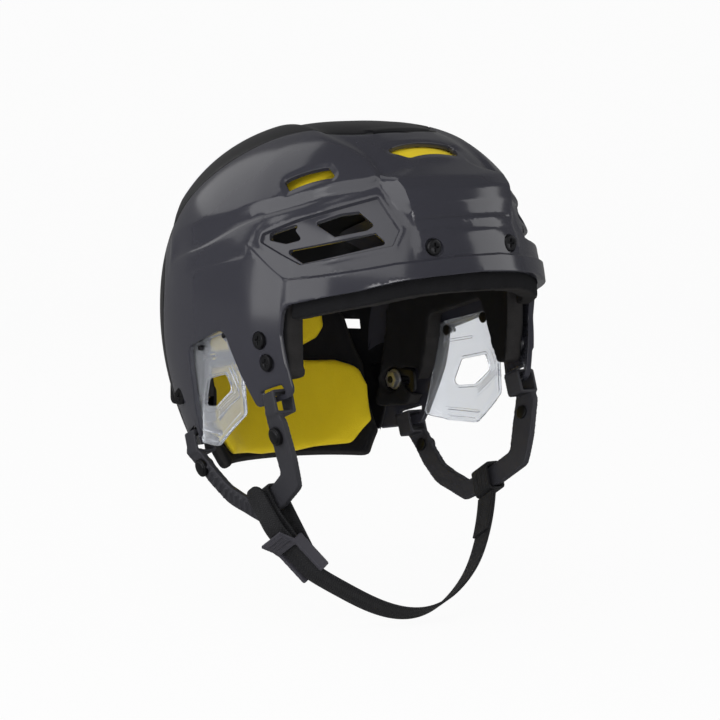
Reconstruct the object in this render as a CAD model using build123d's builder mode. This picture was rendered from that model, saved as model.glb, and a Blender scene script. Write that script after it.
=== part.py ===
from build123d import *
import math
import os

os.makedirs("parts", exist_ok=True)

# Ice hockey helmet, millimetres, +Z up, the face looks along -Y, the wearer's right is -X.
# The origin is the middle of the head opening, level with the brim.

# Outer dome
half_width = 103.0
front_reach = 119.0
rear_reach = 143.0
crown_rise = 118.0
skirt_drop = 112.0
centre_y = -8.0
widest_z = -24.0
taper_depth = 100.0
taper_share = 0.23
dome_power = 2.25
front_power = 2.0
rear_power = 2.4
ring_points = 28
crown_rings = 9
skirt_shares = (1.0, 0.75, 0.5, 0.25)
last_ring_angle = 87.0

# Shells
shell_wall = 3.2
seam_gap = 1.2
seam_step = 0.6
lip_length = 9.0
lip_reach = 13.0
lip_side_gap = 3.0
tongue_length = 14.0
tongue_half_width = 35.0
lap_inset = 3.8
lap_wall = 1.8
lap_bite = 0.3
lobe_rise = 2.5
brim_rise = 2.0
well_depth = 2.4
well_wall = 2.8
well_spread = 1.09
cut_overrun = 40.0
vent_turn = 50.0
slide_travel = 12.0

# Fasteners
screw_radius = 2.2
screw_clearance = 0.3
head_radius = 4.8
head_height = 2.2
recess_radius = 5.3
recess_depth = 1.2
nut_radius = 5.6
nut_height = 2.4
nut_fit = 0.05
screw_overrun = 0.6
head_round = 0.8
pocket_gap = 0.6
cross_length = 5.4
cross_width = 1.1
cross_depth = 1.2
seat_gap = 0.3
boss_radius = 7.0

front_screw_x = 28.0
front_screw_z = 24.0
temple_screw_y = (-40.0, -44.5)
temple_screw_z = (-32.0, -45.0)
adjuster_y = 59.0
adjuster_z = -75.0

# Adjusting arms of the rear shell
arm_face_x = 77.5
arm_thickness = 2.6
arm_height = 15.0
arm_front_y = 40.0
arm_back_y = 90.0
arm_corner = 4.0
washer_height = 1.2
washer_radius = 6.5

# Strap slots, loops and the lips they hang on
slot_height = 5.5
slot_corner = 1.5
front_lip_y = -48.0
front_lip_z = -67.8
rear_lip_y = 50.0
rear_lip_z = -101.6
lip_rise = 5.5
loop_play = 2.0
front_loop_width = 13.0
rear_loop_width = 12.0
front_lip_x = 90.6
rear_lip_x = 80.7
loop_thickness = 2.0
loop_inner_x = 5.0
loop_inner_top = 4.4
loop_inner_bottom = 6.4
loop_corner = 1.6

# Liner
side_liner_inset = 6.0
side_liner_thickness = 12.0
brim_liner_thickness = 10.0
crown_pad_inset = 5.9
crown_pad_thickness = 9.5
side_pad_inset = 6.5
side_pad_thickness = 8.5
rear_liner_inset = 8.0
rear_liner_thickness = 9.0
rear_pad_thickness = 6.5
pad_gap = 0.3
liner_corner = 4.0

# Ear guards
guard_wall = 1.8
guard_corner = 3.5
guard_bead = 1.2
guard_bead_width = 2.2
rivet_radius = 1.6
rivet_head_radius = 3.4
rivet_head_height = 1.2
rivet_grip = 2.0
rivet_clearance = 0.3
guard_bead_rise = 84.0
ridge_height = 0.6
ridge_spreads = (1.16, 1.28, 1.40)
rivet_boss_radius = 4.0

# Harness, chin strap and buckle
harness_thickness = 4.0
plate_offset = 5.2
plate_drop = 2.2
tip_x = 78.5
tip_y = -11.5
tip_z = -140.0
snap_pin_radius = 1.8
snap_dome_height = 0.8
snap_flange_height = 1.2
snap_radius = 5.6
snap_height = 2.4
snap_dome_radius = 4.2
web_width = 16.0
web_thickness = 1.4
web_tilt = 30.0
web_plane_y = -28.0
web_plane_z = -130.0
ring_thickness = 1.4
lap_start_share = 0.012
lap_end_share = 0.125
strip_steps = 41
layer_gap = 0.3
buckle_length = 30.0
buckle_rail = 2.4
buckle_side_gap = 0.6
buckle_bar = 1.5
rail_corner = 1.2
rail_shares = ((-0.40, -0.173), (-0.40, 0.087), (0.433, 0.087), (0.433, -0.173))
bar_shares = ((-0.067, -0.143), (0.367, -0.09))
tab_shares = (
    (-0.30, 0.037), (-0.30, 0.097), (-0.433, 0.133), (-0.667, 0.267), (-0.70, 0.217),
    (-0.45, 0.073), (-0.40, 0.037),
)
buckle_lean_share = 0.525
buckle_share = (-0.723, -0.364)
rib_width = 1.2

# Lower edge of the whole shell, seen from the side: shares of the reaches and of the crown rise
lower_edge_shares = (
    (-1.30, 0.284), (-1.00, 0.284), (-0.866, 0.246), (-0.739, 0.195), (-0.605, 0.161),
    (-0.412, 0.110), (-0.395, -0.034), (-0.441, -0.340), (-0.205, -0.415), (0.0, -0.025),
    (0.287, -0.153), (0.294, -0.356), (0.345, -0.669), (0.559, -0.712), (0.80, -0.72),
    (1.35, -0.72), (1.35, -1.25), (-1.30, -1.25),
)
lower_edge_radii = (0, 0, 30, 30, 30, 7, 12, 7, 3.5, 9, 7, 12, 4, 10, 0, 0, 0, 0)

# Seam between the two shells, seen from above and then from the side
seam_top_shares = (
    (0.0, -0.353), (0.243, -0.303), (0.350, -0.210), (0.398, -0.092), (0.447, 0.007),
    (0.505, 0.091), (0.612, 0.210), (0.689, 0.315), (0.738, 0.406), (0.777, 0.483),
    (0.806, 0.531), (0.835, 0.587), (1.30, 1.10), (1.30, 1.50), (0.0, 1.50),
)
seam_side_shares = (
    (0.531, 0.466), (0.699, 0.347), (0.629, 0.254), (0.587, 0.136), (0.594, 0.008),
    (0.608, -0.178), (0.580, -0.432), (0.545, -0.746), (0.545, -1.20), (1.50, -1.20),
    (1.50, 0.466),
)
seam_turn_share = 0.466

# Raised lobes either side of the crown's valley, from above
lobe_shares = (
    (0.369, -0.605), (0.369, -0.454), (0.388, -0.269), (0.369, -0.109), (0.291, 0.126),
    (0.233, 0.406), (0.214, 0.685), (0.233, 0.839), (0.485, 0.80), (0.70, 0.66),
    (0.883, 0.538), (0.913, 0.434), (0.942, 0.182), (0.893, -0.092), (0.767, -0.361),
    (0.553, -0.571), (0.417, -0.639),
)

# Forehead panel, level by level: height, half width, depth at the side, depth in the middle
panel_shares = (
    (0.331, 0.485, -0.832, -0.950),
    (0.424, 0.485, -0.824, -0.933),
    (0.500, 0.437, -0.790, -0.908),
    (0.627, 0.437, -0.786, -0.878),
    (0.695, 0.427, -0.765, -0.845),
    (0.746, 0.369, -0.723, -0.790),
    (0.788, 0.214, -0.672, -0.693),
)
panel_back_share = -0.437

# Brim band, from the front
brim_shares = (
    (-0.922, 0.237), (-0.699, 0.288), (-0.485, 0.331), (-0.155, 0.364), (0.155, 0.364),
    (0.485, 0.331), (0.699, 0.288), (0.922, 0.237), (0.922, -0.20), (-0.922, -0.20),
)
brim_back_share = -0.37

# Openings seen from above
top_slot_shares = ((-0.272, -0.479), (0.272, -0.479), (0.175, -0.580), (-0.175, -0.580))
lobe_slot_shares = ((0.743, -0.223), (0.583, -0.395), (0.568, -0.450), (0.738, -0.269))
slot_bottom_share = 0.50
opening_corner = 1.5
lobe_slot_corner = 0.8

# Side vent, in a plane turned towards the temple
well_shares = (
    (-0.388, 0.458), (-0.165, 0.534), (0.087, 0.602), (0.291, 0.653), (0.398, 0.534),
    (0.437, 0.492), (0.408, 0.415), (-0.126, 0.314), (-0.243, 0.356), (-0.398, 0.415),
)
upper_front_hole_shares = (
    (-0.068, 0.525), (0.087, 0.572), (0.194, 0.585), (0.291, 0.520), (0.252, 0.496),
    (0.068, 0.462),
)
upper_rear_hole_shares = (
    (-0.350, 0.464), (-0.204, 0.508), (-0.165, 0.515), (-0.184, 0.485), (-0.136, 0.442),
    (-0.233, 0.419), (-0.345, 0.432),
)
lower_hole_shares = (
    (-0.232, 0.382), (0.049, 0.434), (0.300, 0.482), (0.372, 0.430), (0.117, 0.375),
    (-0.117, 0.326),
)
vent_corner = 1.2

# Rear vents, from behind
rear_vent_x_share = 0.70
rear_vent_z_shares = (-0.05, -0.16)
rear_vent_width = 9.0
rear_vent_height = 6.0

# Liner outlines from the side
side_liner_shares = (
    (-0.380, 0.280), (-0.378, -0.260), (-0.262, -0.275), (-0.180, -0.20), (-0.042, 0.050),
    (0.30, -0.070), (0.312, -0.356), (0.360, -0.560), (0.520, -0.580), (0.535, -0.35),
    (0.52, 0.280),
)
brim_liner_shares = (
    (-1.05, 0.290), (-1.05, 0.205), (-0.866, 0.170), (-0.739, 0.120), (-0.605, 0.086),
    (-0.412, 0.035), (-0.412, 0.290),
)
# Liner outlines from the front
forehead_pad_shares = (
    (-0.34, 0.300), (0.34, 0.300), (0.33, 0.45), (0.30, 0.58), (0.22, 0.64), (-0.22, 0.64),
    (-0.30, 0.58), (-0.33, 0.45),
)
rear_liner_shares = (
    (-0.60, -0.10), (-0.30, 0.12), (0.30, 0.12), (0.60, -0.10), (0.645, -0.36),
    (0.60, -0.70), (0.52, -0.83), (-0.52, -0.83), (-0.60, -0.70), (-0.645, -0.36),
)
occipital_pad_shares = (
    (-0.50, -0.335), (0.50, -0.335), (0.60, -0.37), (0.60, -0.46), (0.57, -0.66),
    (0.48, -0.765), (0.13, -0.80), (-0.13, -0.80), (-0.48, -0.765), (-0.57, -0.66),
    (-0.60, -0.46), (-0.60, -0.37),
)
upper_pad_shares = (
    (0.12, -0.06), (0.455, -0.06), (0.46, -0.16), (0.42, -0.22), (0.34, -0.26), (0.12, -0.26),
)
# Liner outlines from above
crown_pad_shares = (
    (-0.25, -0.56), (0.25, -0.56), (0.31, -0.42), (0.31, 0.25), (0.22, 0.42), (-0.22, 0.42),
    (-0.31, 0.25), (-0.31, -0.42),
)
side_crown_pad_shares = (
    (0.40, -0.37), (0.62, -0.30), (0.745, -0.14), (0.79, 0.05), (0.76, 0.26), (0.42, 0.30),
)

# Ear guard, from the side
guard_shares = (
    (0.02, -0.030), (0.275, -0.125), (0.275, -0.60), (0.245, -0.638), (0.085, -0.635),
    (-0.115, -0.455), (-0.095, -0.27),
)
guard_hole_shares = (
    (0.182, -0.305), (0.020, -0.262), (-0.025, -0.335), (0.091, -0.43), (0.231, -0.450),
)
guard_plan_share_front = 0.925
guard_plan_share_middle = 0.954
guard_plan_share_rear = 0.868
guard_front_y = -27.0
guard_middle_y = 4.0
guard_rear_y = 38.0
rivet_y = (-4.0, 26.0)
rivet_z = (-32.0, -42.0)

# Harness outline from the side: Y and Z as shares of the crown rise, from the front lip
harness_shares = (
    (0.055, -0.044), (0.038, -0.231), (0.021, -0.366), (0.114, -0.430), (0.314, -0.548),
    (0.441, -0.519), (0.551, -0.485), (0.653, -0.413), (0.746, -0.336), (0.780, -0.319),
    (0.881, -0.332), (0.890, -0.358), (0.797, -0.425), (0.712, -0.497), (0.572, -0.586),
    (0.309, -0.650), (0.059, -0.536), (-0.114, -0.421), (-0.119, -0.281), (-0.093, -0.086),
    (-0.059, -0.044),
)
harness_radii = (2, 20, 4, 8, 1.5, 20, 20, 20, 3, 0.5, 0.5, 1.5, 20, 20, 30, 3, 10, 6, 25, 8, 1)
snap_shares = ((-0.025, -0.163), (0.742, -0.408))

# Chin strap, its left ring and its right hitch: across and up the web's plane
strap_shares = (
    (0.760, -0.080), (0.699, -0.204), (0.583, -0.388), (0.461, -0.534), (0.311, -0.655),
    (0.155, -0.738), (0.0, -0.775), (-0.136, -0.767), (-0.330, -0.694), (-0.515, -0.573),
    (-0.621, -0.495), (-0.673, -0.447), (-0.723, -0.364), (-0.784, -0.265), (-0.835, -0.180),
    (-0.862, -0.078), (-0.882, 0.015), (-0.913, 0.092),
)
ring_shares = ((0.847, 0.0709), (0.755, 0.0709), (0.728, -0.0796), (0.819, -0.0796))
hitch_shares = (
    (-0.847, 0.0709), (-0.755, 0.0709), (-0.728, -0.0796), (-0.645, -0.496), (-0.819, -0.087),
)
hitch_radii = (1.6, 1.6, 20, 1.9, 20)

# Lips of the front shell: reach and height of the lapped part
lip_shares = ((0.02, -0.30), (0.90, -0.30), (0.90, 1.0), (0.02, 1.0))
low_ridge_shares = ((0.07, -0.575), (0.255, -0.575))


def side(y_share, z_share):
    reach = front_reach if y_share < 0 else rear_reach
    return (centre_y + y_share * reach, widest_z + z_share * crown_rise)


def front(x_share, z_share):
    return (x_share * half_width, widest_z + z_share * crown_rise)


def top(x_share, y_share):
    reach = front_reach if y_share < 0 else rear_reach
    return (x_share * half_width, centre_y + y_share * reach)


def outline(plane, points, radii=0):
    """One closed flat shape with straight sides and rounded corners."""
    with BuildSketch(plane) as shape:
        with BuildLine():
            if radii:
                FilletPolyline(*points, radius=radii, close=True)
            else:
                Polyline(*points, close=True)
        make_face()
    return shape.sketch


def ring(reach_share, height, inset):
    """One level section of the dome, drawn in by inset."""
    points = []
    for index in range(ring_points):
        turn = 2 * math.pi * index / ring_points
        across, along = math.sin(turn), math.cos(turn)
        power = rear_power if along > 0 else front_power
        reach = (rear_reach if along > 0 else front_reach) - inset
        x = math.copysign(abs(across) ** (2 / power), across) * (half_width - inset)
        y = math.copysign(abs(along) ** (2 / power), along) * reach
        points.append((x * reach_share, centre_y + y * reach_share))
    with BuildSketch(Plane.XY.offset(height)) as section:
        with BuildLine():
            Spline(*points, periodic=True)
        make_face()
    return section.sketch


def dome(inset):
    """The level sections of a solid dome whose surface lies inset inside the shell's."""
    sections = []
    for share in skirt_shares:
        drop = share * skirt_drop
        sections.append(ring(1 - taper_share * (drop / taper_depth) ** 2, widest_z - drop, inset))
    for index in range(crown_rings):
        turn = math.radians(last_ring_angle * index / (crown_rings - 1))
        rise = math.sin(turn) ** (2 / dome_power) * (crown_rise - inset)
        sections.append(ring(math.cos(turn) ** (2 / dome_power), widest_z + rise, inset))
    return sections


def dome_x(y, z, inset=0.0):
    """Half width of the dome at a place on its side."""
    if z > widest_z:
        level = (1 - ((z - widest_z) / (crown_rise - inset)) ** dome_power) ** (1 / dome_power)
    else:
        level = 1 - taper_share * ((widest_z - z) / taper_depth) ** 2
    behind = y > centre_y
    power = rear_power if behind else front_power
    reach = ((rear_reach if behind else front_reach) - inset) * level
    return (half_width - inset) * level * (1 - (abs(y - centre_y) / reach) ** power) ** (1 / power)


def dome_y(x, z, inset=0.0):
    """How far forward the dome stands at a place on its front."""
    level = (1 - ((z - widest_z) / (crown_rise - inset)) ** dome_power) ** (1 / dome_power)
    reach = (front_reach - inset) * level
    width = (half_width - inset) * level
    return centre_y - reach * (1 - (abs(x) / width) ** front_power) ** (1 / front_power)


def panel(inset):
    """The level sections of the forehead panel."""
    sections = []
    last = len(panel_shares) - 1
    for index, (z_share, x_share, side_share, middle_share) in enumerate(panel_shares):
        width = x_share * half_width - inset
        side_y = centre_y + side_share * front_reach + inset
        middle_y = centre_y + middle_share * front_reach + inset
        back_y = centre_y + panel_back_share * front_reach
        height = widest_z + z_share * crown_rise - inset * index / last
        with BuildSketch(Plane.XY.offset(height)) as section:
            with BuildLine():
                ThreePointArc((-width, side_y), (0, middle_y), (width, side_y))
                Polyline((width, side_y), (width, back_y), (-width, back_y), (-width, side_y))
            make_face()
        sections.append(section.sketch)
    return sections


def mirrored(points):
    return [(-x, y) for x, y in points]


def middle_of(points):
    return [sum(values) / len(points) for values in zip(*points)]


def spread_from(middle, point, factor):
    return tuple(centre + factor * (value - centre) for centre, value in zip(middle, point))


lobe_points = [top(*pair) for pair in lobe_shares]
well_points = [front(*pair) for pair in well_shares]
hole_points = [
    [front(*pair) for pair in shares]
    for shares in (upper_front_hole_shares, upper_rear_hole_shares, lower_hole_shares)
]
lobe_slot = [top(*pair) for pair in lobe_slot_shares]
brim_back_y = centre_y + brim_back_share * front_reach
slot_floor = Plane.XY.offset(widest_z + slot_bottom_share * crown_rise)


def vent_outline(hand, points, radii=0):
    """A vent's outline on an upright plane that looks out over that side's temple."""
    turn = math.radians(vent_turn)
    facing = (hand * math.sin(turn), -math.cos(turn), 0)
    forward = (-hand * math.cos(turn), -math.sin(turn), 0)
    plane = Plane(origin=(0, centre_y, 0), x_dir=forward, z_dir=facing)
    return outline(plane, [(x, -hand * z) for x, z in points], radii)


def discs(plane, places, radius):
    """Round faces of one radius at several places of a plane."""
    with BuildSketch(plane) as faces:
        with Locations(*places):
            Circle(radius)
    return faces.sketch


def crosses(plane, places):
    """Cross-shaped recess outlines of the screw heads."""
    with BuildSketch(plane) as faces:
        with Locations(*places):
            Rectangle(cross_length, cross_width)
            Rectangle(cross_width, cross_length)
    return faces.sketch


def seam(shift, lift):
    """Outlines of the space behind the seam: from above, then from the right."""
    reach = (front_reach, rear_reach)
    above = [top(*pair) for pair in seam_top_shares]
    above = above + [(-x, y) for x, y in reversed(above[1:-1])]
    above = [(x, y + shift) for x, y in above]
    beside = [(y + shift, z) for y, z in (side(*pair) for pair in seam_side_shares)]
    level = widest_z + seam_turn_share * crown_rise - lift
    return outline(Plane.XY.offset(level), above), outline(Plane.YZ, beside)


def strap_slot(lip_y, lip_z, loop_width):
    """A rounded slot over a lip, in line with both lips, for a loop of that width."""
    tilt = math.atan2(rear_lip_z - front_lip_z, rear_lip_y - front_lip_y)
    centre = (lip_y - lip_rise * math.sin(tilt), lip_z + lip_rise * math.cos(tilt))
    with BuildSketch(Plane.YZ) as shape:
        with Locations(centre):
            RectangleRounded(
                loop_width + 2 * loop_play, slot_height, slot_corner, rotation=math.degrees(tilt)
            )
    return shape.sketch


def hexagons(plane, places):
    """Six-sided nut outlines at several places of a plane."""
    with BuildSketch(plane) as faces:
        with Locations(*places):
            RegularPolygon(nut_radius, 6)
    return faces.sketch


far_side = half_width + cut_overrun
rim_points = [spread_from(middle_of(well_points), point, well_spread) for point in well_points]
front_screws_at = [(-front_screw_x, front_screw_z), (front_screw_x, front_screw_z)]
temple_screws_at = list(zip(temple_screw_y, temple_screw_z))
adjuster_at = [(adjuster_y, adjuster_z)]
hole_radius = screw_radius + screw_clearance

# Circle through the ear guard's three plan points
ax, ay = guard_plan_share_front * half_width, guard_front_y
bx, by = guard_plan_share_middle * half_width, guard_middle_y
cx, cy = guard_plan_share_rear * half_width, guard_rear_y
a2, b2, c2 = ax * ax + ay * ay, bx * bx + by * by, cx * cx + cy * cy
double_area = 2 * (ax * (by - cy) + bx * (cy - ay) + cx * (ay - by))
guard_centre_x = (a2 * (by - cy) + b2 * (cy - ay) + c2 * (ay - by)) / double_area
guard_centre_y = (a2 * (cx - bx) + b2 * (ax - cx) + c2 * (bx - ax)) / double_area
guard_arc = math.hypot(ax - guard_centre_x, ay - guard_centre_y)


def guard_x(y, reach=0.0):
    """Half width of the ear guard's outer face; its largest (or smallest) within reach of y."""
    widths = [
        guard_centre_x + math.sqrt(guard_arc ** 2 - (place - guard_centre_y) ** 2)
        for place in (y - reach, y + reach)
    ]
    return max(widths) if reach > 0 else min(widths)


rivets_at = list(zip(rivet_y, rivet_z))
guard_points = [side(*pair) for pair in guard_shares]
guard_hole = [side(*pair) for pair in guard_hole_shares]
hole_middle = middle_of(guard_hole)

# Seats of the fasteners: depths along their own axes
front_seat_y = dome_y(front_screw_x, front_screw_z) + recess_depth
front_nut_y = dome_y(front_screw_x + boss_radius, front_screw_z + boss_radius, shell_wall)
temple_seats = [dome_x(y, z) - recess_depth for y, z in temple_screws_at]
temple_nut_x = min(
    dome_x(y - nut_radius, z - nut_radius, shell_wall) for y, z in temple_screws_at
)
temple_end_x = temple_nut_x - seat_gap - nut_height - screw_overrun
adjuster_seat_x = dome_x(adjuster_y, adjuster_z) - recess_depth
arm_back_x = arm_face_x - arm_thickness
washer_x = arm_back_x - seat_gap
adjuster_nut_x = washer_x - washer_height - seat_gap
adjuster_end_x = adjuster_nut_x - nut_height - screw_overrun

# Inside of the shells, with the bosses left standing
with BuildPart() as cavity:
    loft(sections=dome(shell_wall))
    loft(sections=panel(shell_wall))
    extrude(
        discs(Plane.XZ.offset(-front_nut_y), front_screws_at, boss_radius),
        amount=far_side,
        mode=Mode.SUBTRACT,
    )
    for hand in (-1, 1):
        extrude(
            discs(Plane.YZ.offset(hand * temple_nut_x), temple_screws_at, boss_radius),
            amount=hand * far_side,
            mode=Mode.SUBTRACT,
        )
        extrude(
            discs(Plane.YZ.offset(hand * (arm_face_x + seat_gap)), adjuster_at, boss_radius),
            amount=hand * far_side,
            mode=Mode.SUBTRACT,
        )
        for y, z in rivets_at:
            boss_x = guard_x(y, rivet_boss_radius) + seat_gap
            extrude(
                discs(Plane.YZ.offset(hand * boss_x), [(y, z)], rivet_boss_radius),
                amount=hand * far_side,
                mode=Mode.SUBTRACT,
            )

# Lobes and brim, raised over the dome
with BuildPart() as lobes:
    loft(sections=dome(-lobe_rise))
    with BuildSketch(Plane.XY.offset(widest_z)) as lobe_plan:
        for points in (lobe_points, mirrored(lobe_points)):
            with BuildLine():
                Polyline(*points, close=True)
            make_face()
    extrude(amount=far_side, mode=Mode.INTERSECT)

with BuildPart() as brim:
    loft(sections=dome(-brim_rise))
    extrude(
        outline(Plane.XZ.offset(-brim_back_y), [front(*pair) for pair in brim_shares]),
        amount=far_side,
        mode=Mode.INTERSECT,
    )

# Sunken well of the right side vent
with BuildPart() as well_cut:
    loft(sections=dome(-lobe_rise - brim_rise))
    loft(sections=dome(well_depth), mode=Mode.SUBTRACT)
    extrude(vent_outline(-1, well_points, vent_corner), amount=far_side, mode=Mode.INTERSECT)

with BuildPart() as well_floor:
    loft(sections=dome(well_depth))
    loft(sections=dome(well_depth + well_wall), mode=Mode.SUBTRACT)
    extrude(vent_outline(-1, rim_points, vent_corner), amount=far_side, mode=Mode.INTERSECT)

# What is cut from the right side of the shells
with BuildPart() as side_cuts:
    for points in hole_points:
        extrude(vent_outline(-1, points, vent_corner), amount=far_side)
    extrude(outline(slot_floor, mirrored(lobe_slot), lobe_slot_corner), amount=crown_rise)
    extrude(discs(Plane.YZ, temple_screws_at + adjuster_at, hole_radius), amount=-far_side)
    for place, seat in zip(temple_screws_at, temple_seats):
        extrude(discs(Plane.YZ.offset(-seat), [place], recess_radius), amount=-far_side)
    extrude(discs(Plane.YZ.offset(-adjuster_seat_x), adjuster_at, recess_radius), amount=-far_side)
    extrude(strap_slot(front_lip_y, front_lip_z, front_loop_width), amount=-far_side)
    extrude(strap_slot(rear_lip_y, rear_lip_z, rear_loop_width), amount=-far_side)
    for y, z in rivets_at:
        blind_x = guard_x(y, rivet_boss_radius) + rivet_grip + seat_gap
        extrude(
            discs(Plane.YZ.offset(-blind_x), [(y, z)], rivet_radius + rivet_clearance),
            amount=blind_x,
        )

with BuildPart() as skin:
    loft(sections=dome(0))
    add(lobes.part)
    add(brim.part)
    loft(sections=panel(0))
    add(cavity.part, mode=Mode.SUBTRACT)
    add(well_cut.part, mode=Mode.SUBTRACT)
    mirror(well_cut.part, about=Plane.YZ, mode=Mode.SUBTRACT)
    add(well_floor.part)
    mirror(well_floor.part, about=Plane.YZ)
    add(side_cuts.part, mode=Mode.SUBTRACT)
    mirror(side_cuts.part, about=Plane.YZ, mode=Mode.SUBTRACT)
    extrude(
        outline(Plane.YZ, [side(*pair) for pair in lower_edge_shares], lower_edge_radii),
        amount=far_side,
        both=True,
        mode=Mode.SUBTRACT,
    )

# Space behind the seam; the front shell keeps a gap from it, and the laps reach past it
seam_above, seam_beside = seam(0, 0)
gap_above, gap_beside = seam(-seam_gap, seam_step)
lip_above, lip_beside = seam(-lip_length, seam_step)
reach_above, reach_beside = seam(lip_reach, seam_step)
tongue_above, tongue_beside = seam(-tongue_length, seam_step)

with BuildPart() as behind_seam:
    extrude(seam_above, amount=crown_rise)
    extrude(seam_beside, amount=far_side, both=True)

with BuildPart() as behind_gap:
    extrude(gap_above, amount=crown_rise)
    extrude(gap_beside, amount=far_side, both=True)

with BuildPart() as behind_lips:
    extrude(lip_above, amount=crown_rise)
    extrude(lip_beside, amount=far_side, both=True)

with BuildPart() as behind_reach:
    extrude(reach_above, amount=crown_rise)
    extrude(reach_beside, amount=far_side, both=True)

with BuildPart() as behind_tongue:
    extrude(tongue_above, amount=crown_rise)
    extrude(tongue_beside, amount=far_side, both=True)

with BuildPart() as lap_ring:
    loft(sections=dome(shell_wall - lap_bite))
    loft(sections=dome(lap_inset + lap_wall), mode=Mode.SUBTRACT)

with BuildPart() as outer_ring:
    loft(sections=dome(-lobe_rise - brim_rise))
    loft(sections=dome(lap_inset), mode=Mode.SUBTRACT)

with BuildPart() as lip_zone:
    extrude(outline(Plane.YZ, [side(*pair) for pair in lip_shares]), amount=far_side, both=True)
    with BuildSketch(Plane.XY.offset(widest_z)) as middle_strip:
        Rectangle(2 * (tongue_half_width + lip_side_gap), 2 * (rear_reach + cut_overrun))
    extrude(amount=far_side, mode=Mode.SUBTRACT)

with BuildPart() as tongue_zone:
    with BuildSketch(Plane.XY.offset(widest_z)) as tongue_strip:
        Rectangle(2 * tongue_half_width, 2 * (rear_reach + cut_overrun))
    extrude(amount=far_side)

with BuildPart() as over_lips:
    add(behind_gap.part)
    add(outer_ring.part, mode=Mode.INTERSECT)

with BuildPart() as over_tongue:
    add(outer_ring.part)
    add(behind_seam.part, mode=Mode.SUBTRACT)

# Lips of the front shell that lie under both sides of the rear shell
with BuildPart() as lips:
    add(lap_ring.part)
    add(behind_lips.part, mode=Mode.INTERSECT)
    add(behind_reach.part, mode=Mode.SUBTRACT)
    add(lip_zone.part, mode=Mode.INTERSECT)
    add(over_lips.part, mode=Mode.SUBTRACT)

# Tongue of the rear shell that lies under the crown of the front shell
with BuildPart() as tongue:
    add(lap_ring.part)
    add(behind_tongue.part, mode=Mode.INTERSECT)
    add(behind_reach.part, mode=Mode.SUBTRACT)
    add(tongue_zone.part, mode=Mode.INTERSECT)
    add(over_tongue.part, mode=Mode.SUBTRACT)

# Slotted arms of the rear shell that the adjusting screws clamp
with BuildPart() as arms:
    for hand in (-1, 1):
        with BuildSketch(Plane.YZ.offset(hand * arm_face_x)) as arm_side:
            with Locations(((arm_front_y + arm_back_y) / 2, adjuster_z)):
                RectangleRounded(arm_back_y - arm_front_y, arm_height, arm_corner)
            with Locations((adjuster_y - slide_travel / 2, adjuster_z)):
                SlotOverall(slide_travel + 2 * hole_radius, 2 * hole_radius, mode=Mode.SUBTRACT)
        extrude(amount=-hand * arm_thickness)
    loft(sections=dome(shell_wall / 2), mode=Mode.INTERSECT)

with BuildPart() as front_shell:
    add(skin.part)
    add(behind_gap.part, mode=Mode.SUBTRACT)
    add(lips.part)
    extrude(discs(Plane.XZ, front_screws_at, hole_radius), amount=far_side, mode=Mode.SUBTRACT)
    extrude(
        discs(Plane.XZ.offset(-front_seat_y), front_screws_at, recess_radius),
        amount=far_side,
        mode=Mode.SUBTRACT,
    )
    extrude(
        outline(slot_floor, [top(*pair) for pair in top_slot_shares], opening_corner),
        amount=crown_rise,
        mode=Mode.SUBTRACT,
    )
front_shell.part.label = "front_shell"
export_step(front_shell.part, "parts/front_shell.step")

with BuildPart() as rear_shell:
    add(skin.part)
    add(behind_seam.part, mode=Mode.INTERSECT)
    add(tongue.part)
    add(arms.part)
    with BuildSketch(Plane.XZ.offset(-arm_back_y)) as rear_vents:
        for z_share in rear_vent_z_shares:
            for x_share in (-rear_vent_x_share, rear_vent_x_share):
                with Locations(front(x_share, z_share)):
                    RectangleRounded(rear_vent_width, rear_vent_height, opening_corner)
    extrude(amount=-far_side, mode=Mode.SUBTRACT)
rear_shell.part.label = "rear_shell"
export_step(rear_shell.part, "parts/rear_shell.step")

# Foam and pads
with BuildPart() as forehead_pad:
    loft(sections=dome(shell_wall + pad_gap))
    loft(sections=dome(shell_wall + pad_gap + brim_liner_thickness), mode=Mode.SUBTRACT)
    extrude(
        outline(Plane.XZ, [front(*pair) for pair in forehead_pad_shares], liner_corner),
        amount=far_side,
        mode=Mode.INTERSECT,
    )
    pocket_y = front_nut_y + seat_gap + nut_height + screw_overrun + pocket_gap
    extrude(
        discs(Plane.XZ.offset(-pocket_y), front_screws_at, boss_radius + pocket_gap),
        amount=far_side,
        mode=Mode.SUBTRACT,
    )
forehead_pad.part.label = "forehead_pad"
export_step(forehead_pad.part, "parts/forehead_pad.step")

with BuildPart() as brim_liner:
    loft(sections=dome(shell_wall + pad_gap))
    loft(sections=dome(shell_wall + pad_gap + brim_liner_thickness), mode=Mode.SUBTRACT)
    extrude(
        outline(Plane.YZ, [side(*pair) for pair in brim_liner_shares]),
        amount=far_side,
        both=True,
        mode=Mode.INTERSECT,
    )
brim_liner.part.label = "brim_liner"
export_step(brim_liner.part, "parts/brim_liner.step")

with BuildPart() as crown_pad:
    loft(sections=dome(crown_pad_inset))
    loft(sections=dome(crown_pad_inset + crown_pad_thickness), mode=Mode.SUBTRACT)
    extrude(
        outline(Plane.XY, [top(*pair) for pair in crown_pad_shares], liner_corner),
        amount=far_side,
        mode=Mode.INTERSECT,
    )
crown_pad.part.label = "crown_pad"
export_step(crown_pad.part, "parts/crown_pad.step")

with BuildPart() as right_crown_pad:
    loft(sections=dome(side_pad_inset))
    loft(sections=dome(side_pad_inset + side_pad_thickness), mode=Mode.SUBTRACT)
    extrude(
        outline(Plane.XY, mirrored([top(*pair) for pair in side_crown_pad_shares]), liner_corner),
        amount=far_side,
        mode=Mode.INTERSECT,
    )
right_crown_pad.part.label = "right_crown_pad"
export_step(right_crown_pad.part, "parts/right_crown_pad.step")

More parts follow.
